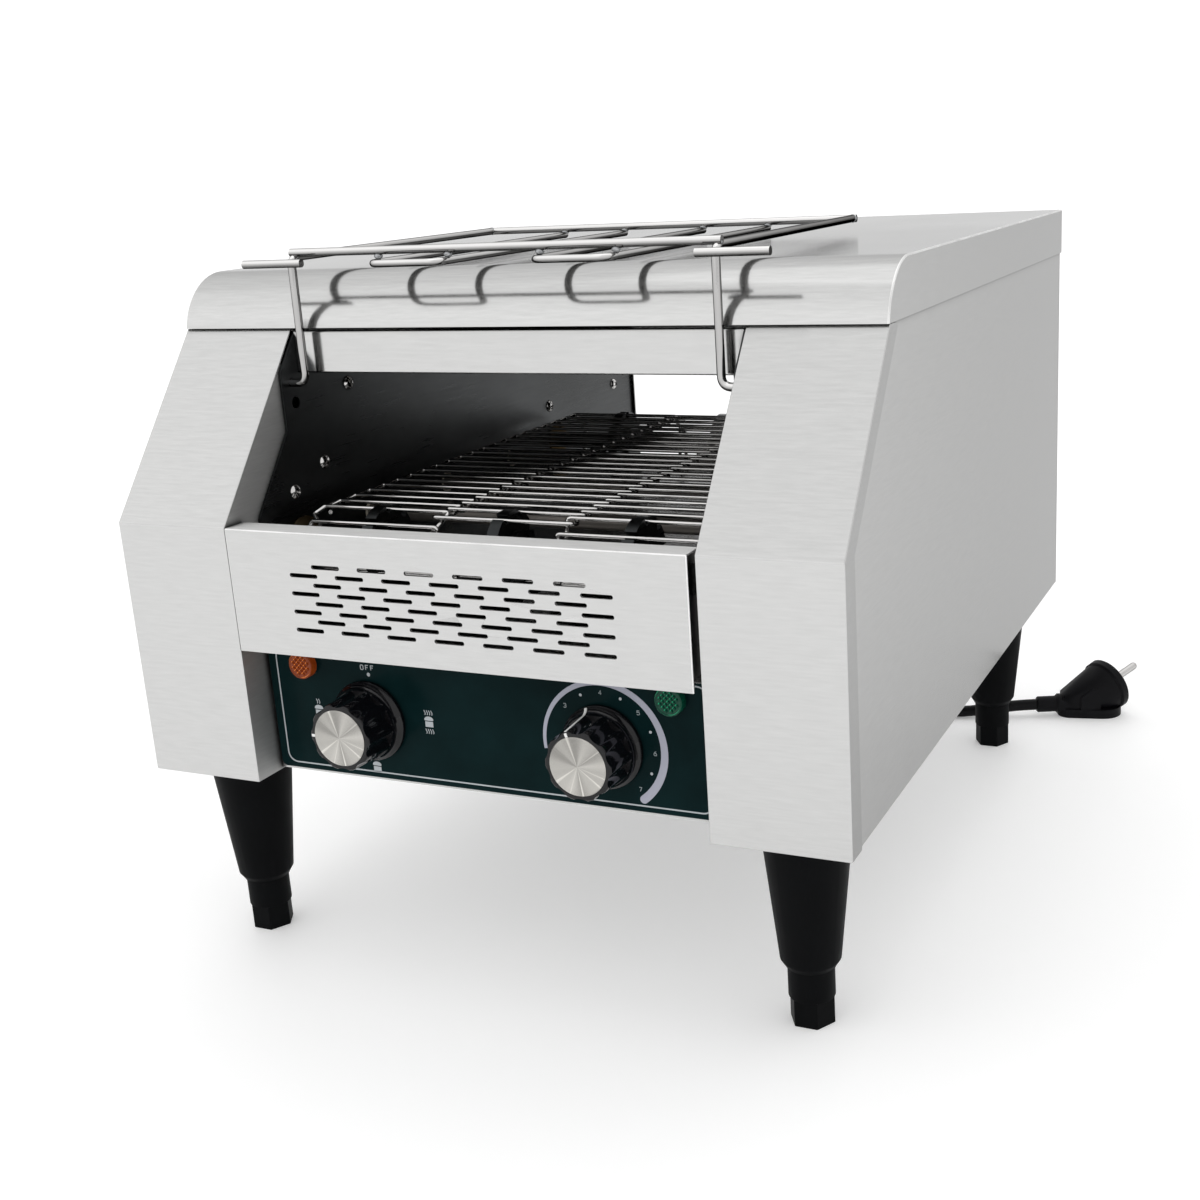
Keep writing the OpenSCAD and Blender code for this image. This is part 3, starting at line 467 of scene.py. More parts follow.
def spun_aluminium(name):
    """A disc turned on a lathe, with fine rings, and a few bright rays and broad wedges from the middle painted
    into its colour as painted highlights.
    """
    color = (0.25, 0.243, 0.228)
    shader = Shader(name, color, metallic=1.0, roughness=0.22, Anisotropic=0.7)
    parts = shader.node("ShaderNodeSeparateXYZ")
    shader.link(shader.place, parts.inputs[0])
    flat = shader.node("ShaderNodeCombineXYZ")
    shader.link(parts.outputs["X"], flat.inputs["X"])
    shader.link(parts.outputs["Z"], flat.inputs["Z"])
    heading = shader.node("ShaderNodeVectorMath", operation="NORMALIZE")
    shader.link(flat.outputs[0], heading.inputs[0])

    def round_noise(scale, detail):
        texture = shader.node("ShaderNodeTexNoise")
        texture.inputs["Scale"].default_value = scale
        texture.inputs["Detail"].default_value = detail
        shader.link(heading.outputs[0], texture.inputs["Vector"])
        return texture.outputs["Fac"]

    # Painted highlights: broad wedges and narrow bright rays round the middle, lighter in the colour.
    broad = shader.spread(round_noise(1.3, 1), 0.25, 0.6, 0.35, 0.65)
    rays = shader.spread(round_noise(4.5, 3), 0, 1, 0.6, 0.72)
    fine = shader.noise(1400, (1, 0.01, 1), detail=2)
    tone = shader.mix(rays, shader.mix(0.1, broad, fine), 1.0)
    shader.link(shader.tint(tone, shade(color, 0.45), shade(color, 3.0)), shader.surface.inputs["Base Color"])
    shader.rough(fine, 0.19, 0.27)
    tangent = shader.node("ShaderNodeVectorMath", operation="CROSS_PRODUCT")
    shader.link(heading.outputs[0], tangent.inputs[0])
    tangent.inputs[1].default_value = (0, 1, 0)
    shader.link(tangent.outputs[0], shader.surface.inputs["Tangent"])
    return shader.material


def lens_plastic(name, color, dark, glow):
    """Clear coloured plastic over a dim lamp, with a painted highlight: each small bead's colour and glow are
    painted brighter on the side that looks up and left.
    """
    shader = Shader(name, color, roughness=0.12, IOR=1.49)
    shader.surface.inputs["Specular IOR Level"].default_value = 0.25
    cells = shader.noise(420, detail=2)
    # Painted highlight on each bead's side that looks up and left; the glow takes the same painted tone.
    toward_light = shader.spread(shader.looks_at((-0.55, -0.35, 0.76)), 0, 1, 0.72, 0.95)
    painted_highlight = shader.mix(0.08, toward_light, cells)
    tone = shader.tint(painted_highlight, dark, color)
    shader.link(tone, shader.surface.inputs["Base Color"])
    shader.rough(cells, 0.08, 0.16)
    shader.link(tone, shader.surface.inputs["Emission Color"])
    shader.surface.inputs["Emission Strength"].default_value = glow
    return shader.material


STEEL = (0.57, 0.57, 0.565)
MATERIALS = {
    "brushed_steel": brushed_steel("brushed steel", STEEL, 0.15),
    "dark_steel": dull_steel("dark steel", (0.034, 0.036, 0.037), 0.3),
    "chrome_wire": bright_wire("drawn wire", (0.64, 0.63, 0.62), 0.06),
    "knob_plastic": moulded("black gloss", (0.003, 0.003, 0.004), 0.07,
                            gloss=0.35, grain=900, depth=0.000004),
    "leg_plastic": moulded("black satin", (0.0025, 0.0028, 0.0032), 0.5,
                           gloss=0.045, grain=1400, depth=0.00006),
    "cap_aluminium": spun_aluminium("spun aluminium"),
    "decal": moulded("dark green film", (0.0028, 0.0125, 0.0135), 0.2,
                     gloss=0.03, grain=1500, depth=0.000004),
    "amber_lens": lens_plastic("amber lens", (1.0, 0.30, 0.06), (0.10, 0.012, 0.001), 0.5),
    "green_lens": lens_plastic("green lens", (0.03, 0.46, 0.22), (0.0, 0.024, 0.015), 0.25),
    "heater_sheath": dull_steel("heater sheath", (0.20, 0.185, 0.17), 0.5),
    "ceramic": moulded("unglazed ceramic", (0.62, 0.58, 0.50), 0.7, speck=0.1),
    "bush_brass": bright_wire("sintered bronze", (0.16, 0.12, 0.07), 0.4),
    "switch_plastic": moulded("pale moulding", (0.55, 0.52, 0.46), 0.45, speck=0.08),
    "board": moulded("circuit board", (0.02, 0.12, 0.06), 0.3),
    "motor_metal": bright_wire("plated can", (0.40, 0.41, 0.42), 0.3),
    "cord_rubber": moulded("black rubber", (0.004, 0.004, 0.0048), 0.42,
                           gloss=0.12, grain=2200, depth=0.00004),
}
SLOT_OF = {row["node"]: row["material_slot"] for row in frame["record"]["subparts"]}


def paint_cad_nodes():
    """Every CAD node takes its slot's material, whether it stays or is replaced later."""
    for name, node in NODES.items():
        node.data.materials.clear()
        node.data.materials.append(MATERIALS[SLOT_OF[name]])


paint_cad_nodes()

SHEARED_STEEL = dull_steel("sheared edge", shade(STEEL, 0.95), 0.3)
# Copies of the steel with painted light or shade: a little duller and painted darker for the columns' flanges,
# duller and painted lighter for the inner faces.
FLANGE_STEEL = brushed_steel("brushed steel, painted darker on a turned side", shade(STEEL, 0.86), 0.2)
INNER_STEEL = brushed_steel("brushed steel, duller and painted lighter", shade(STEEL, 1.2), 0.68, contrast=0.06)
# A painted highlight for the rounded bends: a lighter copy of the steel, bright seen edge-on.
FOLD_HIGHLIGHT_STEEL = bright_wire("steel painted bright at a fold", shade(STEEL, 1.5), 0.25, rim=0.7)
RACK_WIRE = painted_reflection_wire("polished wire with painted reflection", (0.5, 0.495, 0.49), 0.035)
PLUG_RUBBER = moulded("moulded rubber", (0.004, 0.004, 0.005), 0.5, gloss=0.1, grain=1600, depth=0.00006)
PRINT_WHITE = moulded("white print", (0.42, 0.45, 0.47), 0.5, speck=0.06)
PRINT_DIM = moulded("grey print", (0.24, 0.28, 0.29), 0.5, speck=0.06)
PRINT_LILAC = moulded("lilac print", (0.36, 0.37, 0.44), 0.5, speck=0.06)
POINTER_WHITE = moulded("white pointer", (0.75, 0.75, 0.74), 0.4, speck=0.05)


# ---------------------------------------------------------------- the CAD's own shapes with softer edges

# A face's material on a sheet: 0 is the node's own, and the rest are these.
CUT_EDGE, FLANGE, INNER, FOLD_HIGHLIGHT = 1, 2, 3, 4
SHEET_STEELS = (SHEARED_STEEL, FLANGE_STEEL, INNER_STEEL, FOLD_HIGHLIGHT_STEEL)
SHARP = math.radians(30)
STRIP_WIDTH = 1.6


def body_of(node):
    return next(b for b, members in frame["record"]["behaviour"]["bodies"].items() if node in members)


def own_shape(node, flat_degrees):
    """The CAD node's solids with whole flat faces, as a mesh to work on."""
    bm = bmesh.new()
    bm.from_mesh(NODES[node].data)
    bmesh.ops.remove_doubles(bm, verts=bm.verts, dist=SAME_POINT)
    bmesh.ops.dissolve_limit(bm, angle_limit=math.radians(flat_degrees), verts=bm.verts, edges=bm.edges)
    return bm


def round_off(bm, edges, width, segments=2, material=-1):
    """Rounds the edges; the new faces take the material, or with -1 that of their neighbours."""
    if edges:
        bmesh.ops.bevel(bm, geom=edges, offset=width * MM, offset_type="OFFSET", segments=segments,
                        profile=0.5, affect="EDGES", clamp_overlap=True, material=material)


def stand_in(node, suffix, mesh):
    """The mesh as a piece in the CAD node's place, body and material."""
    slot = SLOT_OF[node]
    piece = add(node + suffix, mesh, body_of(node), MATERIALS[slot], slot, [node])
    weigh_normals(piece)
    return piece


def is_strip(face):
    """Whether the face is as narrow as a sheet's cut edge."""
    perimeter = sum(e.calc_length() for e in face.edges)
    return 2 * face.calc_area() / max(1e-9, perimeter) < STRIP_WIDTH * MM


def soften(node, bend=1.0, edge=0.35, finish=None, painted_fold=False):
    """A sheet with its bends rounded and its cut edges broken; finish may pick a face's material, and the bends
    may take a painted highlight.
    """
    bm = own_shape(node, 1)
    for face in bm.faces:
        face.material_index = CUT_EDGE if is_strip(face) else 0
    bends, cuts = [], []
    for e in bm.edges:
        if len(e.link_faces) != 2 or abs(e.calc_face_angle(0)) < SHARP:
            continue
        if any(is_strip(f) for f in e.link_faces):
            cuts.append(e)
        elif e.is_convex:
            bends.append(e)
    # The rounded bends may take the painted highlight.
    round_off(bm, bends, bend, segments=4, material=FOLD_HIGHLIGHT if painted_fold else -1)
    round_off(bm, [e for e in cuts if e.is_valid], edge, material=CUT_EDGE)
    mesh = mesh_from(node + "_sheet", bm)
    if finish:
        for face in mesh.polygons:
            face.material_index = finish(face) or face.material_index
    stand_in(node, "_sheet", mesh)
    for steel in SHEET_STEELS:
        mesh.materials.append(steel)


# Past the first, a column's face is its flange, and above the second, the guard's is its upper lip.
PAST_PANEL_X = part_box("right_side_panel")[1].x + 0.2 * MM
GUARD_LIP_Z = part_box("front_guard")[1].z - 3 * MM


def column_finish(face):
    """The flange over the side panel takes a slightly duller copy of the steel painted darker, a painted shade,
    and the return towards the opening a duller copy painted lighter.
    """
    if abs(face.normal.x) < 0.9:
        return 0
    return FLANGE if abs(face.center.x) > PAST_PANEL_X else INNER


def guard_finish(face):
    """The guard's upper lip is duller than its face, and painted lighter."""
    return INNER if face.normal.z > 0.9 and face.center.z > GUARD_LIP_Z else 0


def break_edges(node, width):
    """The CAD node's solids with their sharp outer edges rounded."""
    bm = own_shape(node, 0.5)
    sharp = [e for e in bm.edges
             if len(e.link_faces) == 2 and e.is_convex and e.calc_face_angle(0) > SHARP]
    round_off(bm, sharp, width)
    return stand_in(node, "_rounded", mesh_from(node + "_rounded", bm))


for sheet_node in ("left_side_panel", "right_side_panel", "front_lintel", "control_panel"):
    soften(sheet_node)
soften("top_cover", bend=0.8, painted_fold=True)
soften("front_guard", edge=0.3, finish=guard_finish, painted_fold=True)
for column_node in ("left_front_column", "right_front_column"):
    soften(column_node, finish=column_finish)


# ---------------------------------------------------------------- conveyor belt

# The belt lies as in the CAD: strands a pitch apart on two shafts, cranked where neighbours hook together.
BELT_PITCH = 12.7
BELT_TEETH = 8
BELT_SPANS = 21
BELT_STRANDS = 2 * BELT_SPANS + BELT_TEETH
BELT_R = BELT_PITCH / 2 / math.sin(math.pi / BELT_TEETH)
BELT_WIRE_R = 1.1
BELT_EDGE = 104
JOINT_X = BELT_EDGE / 3
JOINT_HALF = 3
MIDDLE_SHIFT = 1.5
CRANK_DIP = 3.4
HOOK_DIP = 2.8
BELT_BEND = 1.6


def belt_point(x, s, depth=0.0):
    """A point x across the belt and s pitches along it, depth millimetres inside the pitch line."""
    idler, drive = JOINT_AT["idler_turn"], JOINT_AT["drive_turn"]
    half_turn = BELT_TEETH / 2
    s %= BELT_STRANDS
    r = (BELT_R - depth) * MM
    if s <= BELT_SPANS:
        y, z = idler.y + s * BELT_PITCH * MM, r
    elif s <= BELT_SPANS + half_turn:
        angle = math.pi / 2 - (s - BELT_SPANS) * math.pi / half_turn
        y, z = drive.y + r * math.cos(angle), r * math.sin(angle)
    elif s <= 2 * BELT_SPANS + half_turn:
        y, z = drive.y - (s - BELT_SPANS - half_turn) * BELT_PITCH * MM, -r
    else:
        angle = 1.5 * math.pi - (s - 2 * BELT_SPANS - half_turn) * math.pi / half_turn
        y, z = idler.y + r * math.cos(angle), r * math.sin(angle)
    return Vector((x * MM, y, idler.z + z))


def belt_strand(i):
    """One strand from its left edge hook to its right one, with a crank at each joint."""
    right = [
        belt_point(JOINT_X + JOINT_HALF, i - MIDDLE_SHIFT),
        belt_point(JOINT_X, i - MIDDLE_SHIFT / 2, CRANK_DIP),
        belt_point(JOINT_X - JOINT_HALF, i),
        belt_point(BELT_EDGE, i),
        belt_point(BELT_EDGE + JOINT_HALF, i - 0.5, CRANK_DIP / 2),
        belt_point(BELT_EDGE - JOINT_HALF, i - 1.05, HOOK_DIP),
    ]
    left = [Vector((-p.x, p.y, p.z)) for p in reversed(right)]
    return rounded(left + right, BELT_BEND * MM, 3)


belt_strands = [belt_strand(i) for i in range(BELT_STRANDS)]
add("belt_wires", wire_curve("belt_wires", belt_strands, BELT_WIRE_R * MM, 2), "root",
    MATERIALS["chrome_wire"], "chrome_wire", ["conveyor_belt"])


# ---------------------------------------------------------------- feet, legs and plug

for foot_node in ("front_left_foot", "front_right_foot", "rear_left_foot", "rear_right_foot"):
    break_edges(foot_node, 0.6)
break_edges("legs", 0.5)
PLUG = break_edges("mains_plug", 0.7)
PLUG.data.materials[0] = PLUG_RUBBER


# ---------------------------------------------------------------- knobs

KNOB_LENGTH = 25.4
KNOB_TOP = KNOB_LENGTH - 0.6
KNOB_GAP = 0.6
SKIRT_R, GRIP_R, RIM_R, CAP_R = 20, 17.2, 16.4, 13.8
FLUTES, FLUTE_R, FLUTE_DEPTH, FLUTE_FOOT, FLUTE_LEAN = 10, 8, 1.3, 7, 2.5
# Where each pointer stands at rest, in degrees counter-clockwise from +X: on a ridge, as in the photograph.
POINTER_AT = {"selector_turn": 180, "speed_turn": 108}


def flute_reach(angle, height):
    """How far out the grip goes between its ridges."""
    step = 2 * math.pi / FLUTES
    off = (angle / step % 1 - 0.5) * step
    middle = GRIP_R - FLUTE_DEPTH + FLUTE_R - (height - FLUTE_FOOT) * math.tan(math.radians(FLUTE_LEAN))
    inside = FLUTE_R ** 2 - (middle * math.sin(off)) ** 2
    if height <= FLUTE_FOOT or inside <= 0:
        return math.inf
    return middle * math.cos(off) - math.sqrt(inside)


def knob_base(joint):
    """A knob's place: on its joint's axis, a gap in front of the overlay, with its own +Z to the front."""
    where = JOINT_AT[joint]
    return Matrix.Translation((where.x, DECAL_Y - KNOB_GAP * MM, where.z)) @ FACING


def make_knob(node, joint):
    """A hollow skirt, a fluted grip that narrows to the rim, and a seat for the cap."""
    hollow = [(0, 13.4), (3, 13.4), (3, 4), (8, 4), (8, 0)]
    skirt = [(SKIRT_R - 0.4, 0), (SKIRT_R, 0.4), (SKIRT_R, 1.7), (SKIRT_R - 0.2, 2.15),
             (SKIRT_R - 0.6, 2.5), (SKIRT_R - 1.5, 3.3), (SKIRT_R - 2.1, 4.2)]
    foot = [(GRIP_R + 0.35, 5.1), (GRIP_R + 0.08, 6.0), (GRIP_R, FLUTE_FOOT)]
    narrowing, rise = (GRIP_R - RIM_R) / 6, (KNOB_TOP - 0.8 - FLUTE_FOOT) / 6
    grip = [(GRIP_R - k * narrowing, FLUTE_FOOT + 0.05 + k * rise) for k in range(7)]
    rim = [(RIM_R - 0.12, KNOB_TOP - 0.4), (RIM_R - 0.4, KNOB_TOP - 0.12), (RIM_R - 0.8, KNOB_TOP)]
    seat = [(CAP_R, KNOB_TOP), (CAP_R, KNOB_TOP - 0.6), (0, KNOB_TOP - 0.6)]
    bm = revolved(hollow + skirt + foot + grip + rim + seat, 180, flute_reach)
    bmesh.ops.transform(bm, matrix=knob_base(joint), verts=bm.verts)
    add(node + "_moulding", mesh_from(node + "_moulding", bm, 40), body_of(node),
        MATERIALS["knob_plastic"], "knob_plastic", [node])


def make_pointer(node, joint):
    """A white line from the cap's edge over the rim and down one ridge to the skirt."""
    half, proud, sunk = 0.65, 0.14, 0.2
    line = [(CAP_R + 0.1, KNOB_TOP), (RIM_R - 0.8, KNOB_TOP), (RIM_R, KNOB_TOP - 0.8), (GRIP_R, FLUTE_FOOT),
            (GRIP_R + 0.1, 6), (SKIRT_R - 2.0, 4.1), (SKIRT_R - 0.5, 2.5)]
    sections = []
    for k, (r, z) in enumerate(line):
        (r0, z0), (r1, z1) = line[max(0, k - 1)], line[min(k + 1, len(line) - 1)]
        out = Vector((z0 - z1, 0, r1 - r0)).normalized()
        middle = Vector((r, 0, z))
        sections.append([(middle + out * depth + Vector((0, side, 0))) * MM
                         for depth, side in ((-sunk, -half), (proud, -half), (proud, half), (-sunk, half))])
    bm = bmesh.new()
    plank(bm, sections)
    turn = Matrix.Rotation(math.radians(POINTER_AT[joint]), 4, "Z")
    bmesh.ops.transform(bm, matrix=knob_base(joint) @ turn, verts=bm.verts)
    add(node + "_pointer", mesh_from(node + "_pointer", bm), body_of(node), POINTER_WHITE, "knob_plastic")


def make_cap(node, joint):
    """A turned disc whose own origin is on its axis, so that its rings and painted rays run round it."""
    low, high = KNOB_LENGTH - 1.2, KNOB_LENGTH
    profile = [(0, low), (CAP_R, low), (CAP_R, high - 0.35), (CAP_R - 0.35, high), (CAP_R - 0.8, high),
               (CAP_R - 1.0, high - 0.1), (0, high - 0.1)]
    bm = revolved(profile, 128)
    bmesh.ops.transform(bm, matrix=FACING, verts=bm.verts)
    add(node + "_disc", mesh_from(node + "_disc", bm), body_of(node), MATERIALS["cap_aluminium"],
        "cap_aluminium", [node], origin=knob_base(joint).translation)


for knob_node, knob_joint in (("selector_knob", "selector_turn"), ("speed_knob", "speed_turn")):
    make_knob(knob_node, knob_joint)
    make_pointer(knob_node, knob_joint)
    make_cap(knob_node + "_cap", knob_joint)


# ---------------------------------------------------------------- lamps

LENS_R, LENS_FRONT = 6.75, 3.8
BEAD_STEP, BEAD_SIDES = 1.9, 8
BEAD = [(0.92, -0.1), (0.84, 0.45), (0.5, 0.9), (0, 1.1)]


def add_bead(bm, u, v):
    """A small dome of its own on the lens's front."""
    rings = []
    for radius, rise in BEAD:
        corners = [around((u, v), radius, 360 * k / BEAD_SIDES) for k in range(BEAD_SIDES if radius else 1)]
        rings.append([bm.verts.new(Vector((x, y, LENS_FRONT + rise)) * MM) for x, y in corners])
    bm.faces.new(rings[0][::-1])
    for low, high in zip(rings, rings[1:]):
        join_rings(bm, low, high, BEAD_SIDES)


def make_lens(node, slot):
    """A round lens with a slanting lattice of small beads on its front."""
    low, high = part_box(node)
    middle = (low + high) / 2
    bm = revolved([(0, 0), (LENS_R, 0), (LENS_R, 3.4), (LENS_R - 0.15, 3.9), (LENS_R - 0.5, 4.15),
                   (LENS_R - 0.8, 4.1), (LENS_R - 1.0, LENS_FRONT), (0, LENS_FRONT)], 64)
    slant = BEAD_STEP / math.sqrt(2)
    reach = int(LENS_R / BEAD_STEP) + 1
    for i in range(-reach, reach + 1):
        for j in range(-reach, reach + 1):
            u, v = (i - j) * slant, (i + j) * slant
            if math.hypot(u, v) <= LENS_R - 1.75:
                add_bead(bm, u, v)
    place = Matrix.Translation((middle.x, DECAL_Y, middle.z)) @ FACING
    bmesh.ops.transform(bm, matrix=place, verts=bm.verts)
    add(node + "_lens", mesh_from(node + "_lens", bm, 50), body_of(node), MATERIALS[slot], slot, [node])


make_lens("amber_lamp", "amber_lens")
make_lens("green_lamp", "green_lens")


# ---------------------------------------------------------------- print on the panel

PRINT_PROUD, PRINT_SUNK = 0.05, 0.02
PRINT_EDGES = ((-1, -PRINT_SUNK), (-1, PRINT_PROUD), (1, PRINT_PROUD), (1, -PRINT_SUNK))
# The strokes of each sign, in a field 4 wide and 6 high.
GLYPHS = {
    "O": [[(0, 1), (0, 5), (1, 6), (3, 6), (4, 5), (4, 1), (3, 0), (1, 0), (0, 1)]],
    "F": [[(0, 0), (0, 6), (4, 6)], [(0, 3.2), (3.2, 3.2)]],
    "3": [[(0, 5), (1, 6), (3, 6), (4, 5), (4, 4), (3, 3.1), (1.6, 3.1)],
          [(3, 3.1), (4, 2.2), (4, 1), (3, 0), (1, 0), (0, 1)]],
    "4": [[(3, 0), (3, 6), (0, 2), (4.2, 2)]],
    "5": [[(4, 6), (0.4, 6), (0.2, 3.4), (1.2, 3.9), (3, 3.9), (4, 2.9), (4, 1), (3, 0), (1, 0), (0, 1)]],
    "6": [[(3.6, 6), (1.6, 5.2), (0, 3), (0, 1), (1, 0), (3, 0), (4, 1), (4, 2.4), (3, 3.4), (1, 3.4),
           (0, 2.6)]],
    "7": [[(0, 6), (4, 6), (1.6, 0)]],
}


class Print:
    """Thin closed plates on the panel, in millimetres from the body's middle and from its underside."""

    def __init__(self):
        self.bm = bmesh.new()

    def point(self, x, z, proud):
        return Vector((x * MM, DECAL_Y - proud * MM, BODY_Z + z * MM))

    def line(self, path, width):
        """A stroke along a path, with mitred corners."""
        points = [Vector(p) for p in path]
        closed = (points[0] - points[-1]).length < 1e-6
        sections = []
        for k, p in enumerate(points):
            before = points[k - 1] if k else (points[-2] if closed else None)
            after = points[k + 1] if k + 1 < len(points) else (points[1] if closed else None)
            u = (p - before).normalized() if before else (after - p).normalized()
            v = (after - p).normalized() if after else u
            middle = (u + v).normalized()
            half = width / 2 / max(0.5, middle.dot(u))
            side = Vector((-middle.y, middle.x)) * half
            sections.append([self.point(p.x + s * side.x, p.y + s * side.y, proud)
                             for s, proud in PRINT_EDGES])
        plank(self.bm, sections)

    def patch(self, outline):
        """A filled shape."""
        back = [self.bm.verts.new(self.point(x, z, -PRINT_SUNK)) for x, z in outline]
        front = [self.bm.verts.new(self.point(x, z, PRINT_PROUD)) for x, z in outline]
        join_rings(self.bm, back, front, len(outline))
        self.bm.faces.new(back[::-1])
        self.bm.faces.new(front)

    def dot(self, x, z, radius):
        self.patch([around((x, z), radius, 18 * k) for k in range(20)])

    def glyph(self, key, x, z, height, width):
        for path in GLYPHS[key]:
            self.line([(x + (u - 2) * height / 6, z + (v - 3) * height / 6) for u, v in path], width)

    def heat(self, x, z, count):
        """Small wavy lines over or under a slice."""
        height, gap, sway = 2.4, 1.25, 0.28
        for k in range(count):
            left = x + (k - (count - 1) / 2) * gap
            self.line([(left + sway * math.sin(t * 1.5 * math.pi), z + height * (t - 0.5))
                       for t in (i / 8 for i in range(9))], 0.38)

    def slice(self, x, z):
        """A slice of bread: a domed top and a body under a thin gap."""
        round_top = [around((0, 0), 1, degrees) for degrees in range(0, 181, 15)]
        dome = [(x + 2.5 * u, z + 1.0 + 1.7 * v) for u, v in round_top]
        self.patch(dome + [(x - 2.1, z + 0.6), (x + 2.1, z + 0.6)])
        self.patch([(x - 2.1, z + 0.15), (x - 2.1, z - 2.6), (x + 2.2, z - 2.6), (x + 2.2, z + 0.15)])

    def finish(self, name, material):
        add(name, mesh_from(name, self.bm), "root", material, "decal")


def dial_middle(joint):
    return JOINT_AT[joint].x / MM, (JOINT_AT[joint].z - BODY_Z) / MM


def print_border():
    """A pale thin line round the panel, a little inside its edge."""
    low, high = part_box("control_decal")
    at_sides, at_foot, at_top, r = 4.5, 2.8, 1.5, 5
    left, right = low.x / MM + at_sides, high.x / MM - at_sides
    bottom, top = (low.z - BODY_Z) / MM + at_foot, (high.z - BODY_Z) / MM - at_top
    corners = ((right - r, top - r, 0), (left + r, top - r, 90),
               (left + r, bottom + r, 180), (right - r, bottom + r, 270))
    path = [around((x, z), r, start + 15 * k) for x, z, start in corners for k in range(7)]
    sheet = Print()
    sheet.line(path + path[:1], 0.7)
    sheet.finish("panel_border", PRINT_WHITE)


def print_selector():
    """OFF at the top, and slices to toast at the other three places."""
    x, z = dial_middle("selector_turn")
    sheet = Print()
    for k, key in enumerate("OFF"):
        sheet.glyph(key, x + 1.0 + (k - 1) * 2.9, z + 26.4, 2.3, 0.42)
    sheet.dot(x + 1.5, z + 23.0, 0.95)
    for dx, dz, above, below in ((-30, 2, 2, 0), (33, 2.2, 4, 4), (0.5, -24.2, 3, 0)):
        sheet.slice(x + dx, z + dz)
        if above:
            sheet.heat(x + dx, z + dz + 4.6, above)
        if below:
            sheet.heat(x + dx, z + dz - 4.8, below)
    sheet.finish("selector_print", PRINT_WHITE)


def print_speed():
    """Numbers 3 to 7 with a dot between neighbours, inside a band that grows round the dial."""
    middle = dial_middle("speed_turn")
    number_r, three, step = 25.4, 136, 46
    numbers, dots, band = Print(), Print(), Print()
    for k, key in enumerate("34567"):
        x, z = around(middle, number_r, three - k * step)
        numbers.glyph(key, x, z, 1.9, 0.34)
    for k in range(4):
        dots.dot(*around(middle, number_r, three - (k + 0.5) * step), 0.7)
    band_r, start, end, start_half, end_half, parts = 30, 188, -52, 0.8, 2, 60
    outer, inner = [], []
    for k in range(parts + 1):
        angle = start + (end - start) * k / parts
        half = start_half + (end_half - start_half) * k / parts
        outer.append(around(middle, band_r + half, angle))
        inner.append(around(middle, band_r - half, angle))
    tip = around(middle, band_r, end)
    round_end = [around(tip, end_half, end - 180 * k / 8) for k in range(1, 8)]
    band.patch(outer + round_end + inner[::-1])
    numbers.finish("speed_print", PRINT_DIM)
    dots.finish("speed_dots", PRINT_WHITE)
    band.finish("speed_band", PRINT_LILAC)


print_border()
print_selector()
print_speed()


# ---------------------------------------------------------------- screws on the inner walls

# The screws stand where the CAD has them: behind the body's front and above its underside.
SCREW_R, SCREW_RISE = 3.7, 2.4
SCREW_SPOTS = [(53.5, 134), (79.4, 144), (106.6, 180), (317, 133), (410, 133)]
RECESS_HALF, RECESS_REACH, RECESS_DEPTH = 0.42, 2.0, 1.3


def screw_point(u, v):
    """A corner of the head: a square's outer rows go onto the round rim, its middle stays as it is."""
    square = 2.1
    size = max(abs(u), abs(v))
    share = min(1, max(0, (size - square) / (SCREW_R - square)))
    pull = 1 + share * (size / (math.hypot(u, v) or 1) - 1)
    x, y = u * pull, v * pull
    height = SCREW_RISE * math.sqrt(1 - 0.96 * min(1, (x * x + y * y) / SCREW_R ** 2)) - 0.3
    if min(abs(u), abs(v)) <= RECESS_HALF and size <= RECESS_REACH:
        height -= RECESS_DEPTH
    return Vector((x, y, height)) * MM


def screw_mesh():
    """A domed head with a cross recess, as a grid whose lines follow the recess."""
    outwards = [RECESS_HALF, RECESS_HALF + 0.06, 1.2, RECESS_REACH, RECESS_REACH + 0.08, 2.6, 3.2, SCREW_R]
    lines = [-u for u in reversed(outwards)] + [0] + outwards
    bm = bmesh.new()
    grid = [[bm.verts.new(screw_point(u, v)) for v in lines] for u in lines]
    last = len(lines) - 1
    for i in range(last):
        for j in range(last):
            bm.faces.new((grid[i][j], grid[i + 1][j], grid[i + 1][j + 1], grid[i][j + 1]))
    rim = ([grid[i][0] for i in range(last)] + [grid[last][j] for j in range(last)]
           + [grid[i][last] for i in range(last, 0, -1)] + [grid[0][j] for j in range(last, 0, -1)])
    feet = [bm.verts.new((v.co.x, v.co.y, -0.2 * MM)) for v in rim]
    join_rings(bm, rim, feet, len(rim))
    bm.faces.new(feet)
    return mesh_from("screw", bm, 32)


def make_screws():
    """The same heads on both inner walls, each turned differently."""
    head = screw_mesh()
    bm = bmesh.new()
    wall_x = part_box("right_inner_wall")[0].x / MM
    for number, (y, z) in enumerate(SCREW_SPOTS):
        for side in (-1, 1):
            inwards = Matrix.Rotation(-side * math.pi / 2, 4, "Y")
            spin = Matrix.Rotation(math.radians(37 * number + 20 * side), 4, "Z")
            place = Matrix.Translation(at(side * wall_x, y, z)) @ inwards @ spin
            start = len(bm.verts)
            bm.from_mesh(head)
            bm.verts.ensure_lookup_table()
            bmesh.ops.transform(bm, matrix=place, verts=bm.verts[start:])
    add("screw_heads", mesh_from("screw_heads", bm, 32), "root", MATERIALS["chrome_wire"],
        "brushed_steel", ["wall_screws"])


make_screws()


# ---------------------------------------------------------------- warming rack

# The rack lies as in the CAD, hooked into the inner walls.
RACK_X, RACK_D, RACK_TOP = 110, 189, 247
RACK_R, HAIRPIN_R = 2.0, 1.75
HAIRPINS = ((-62, -24), (24, 62))
HOOK_X, HOOK_Y, HOOK_Z = 124, 61, 187
STUB_OUT = 26


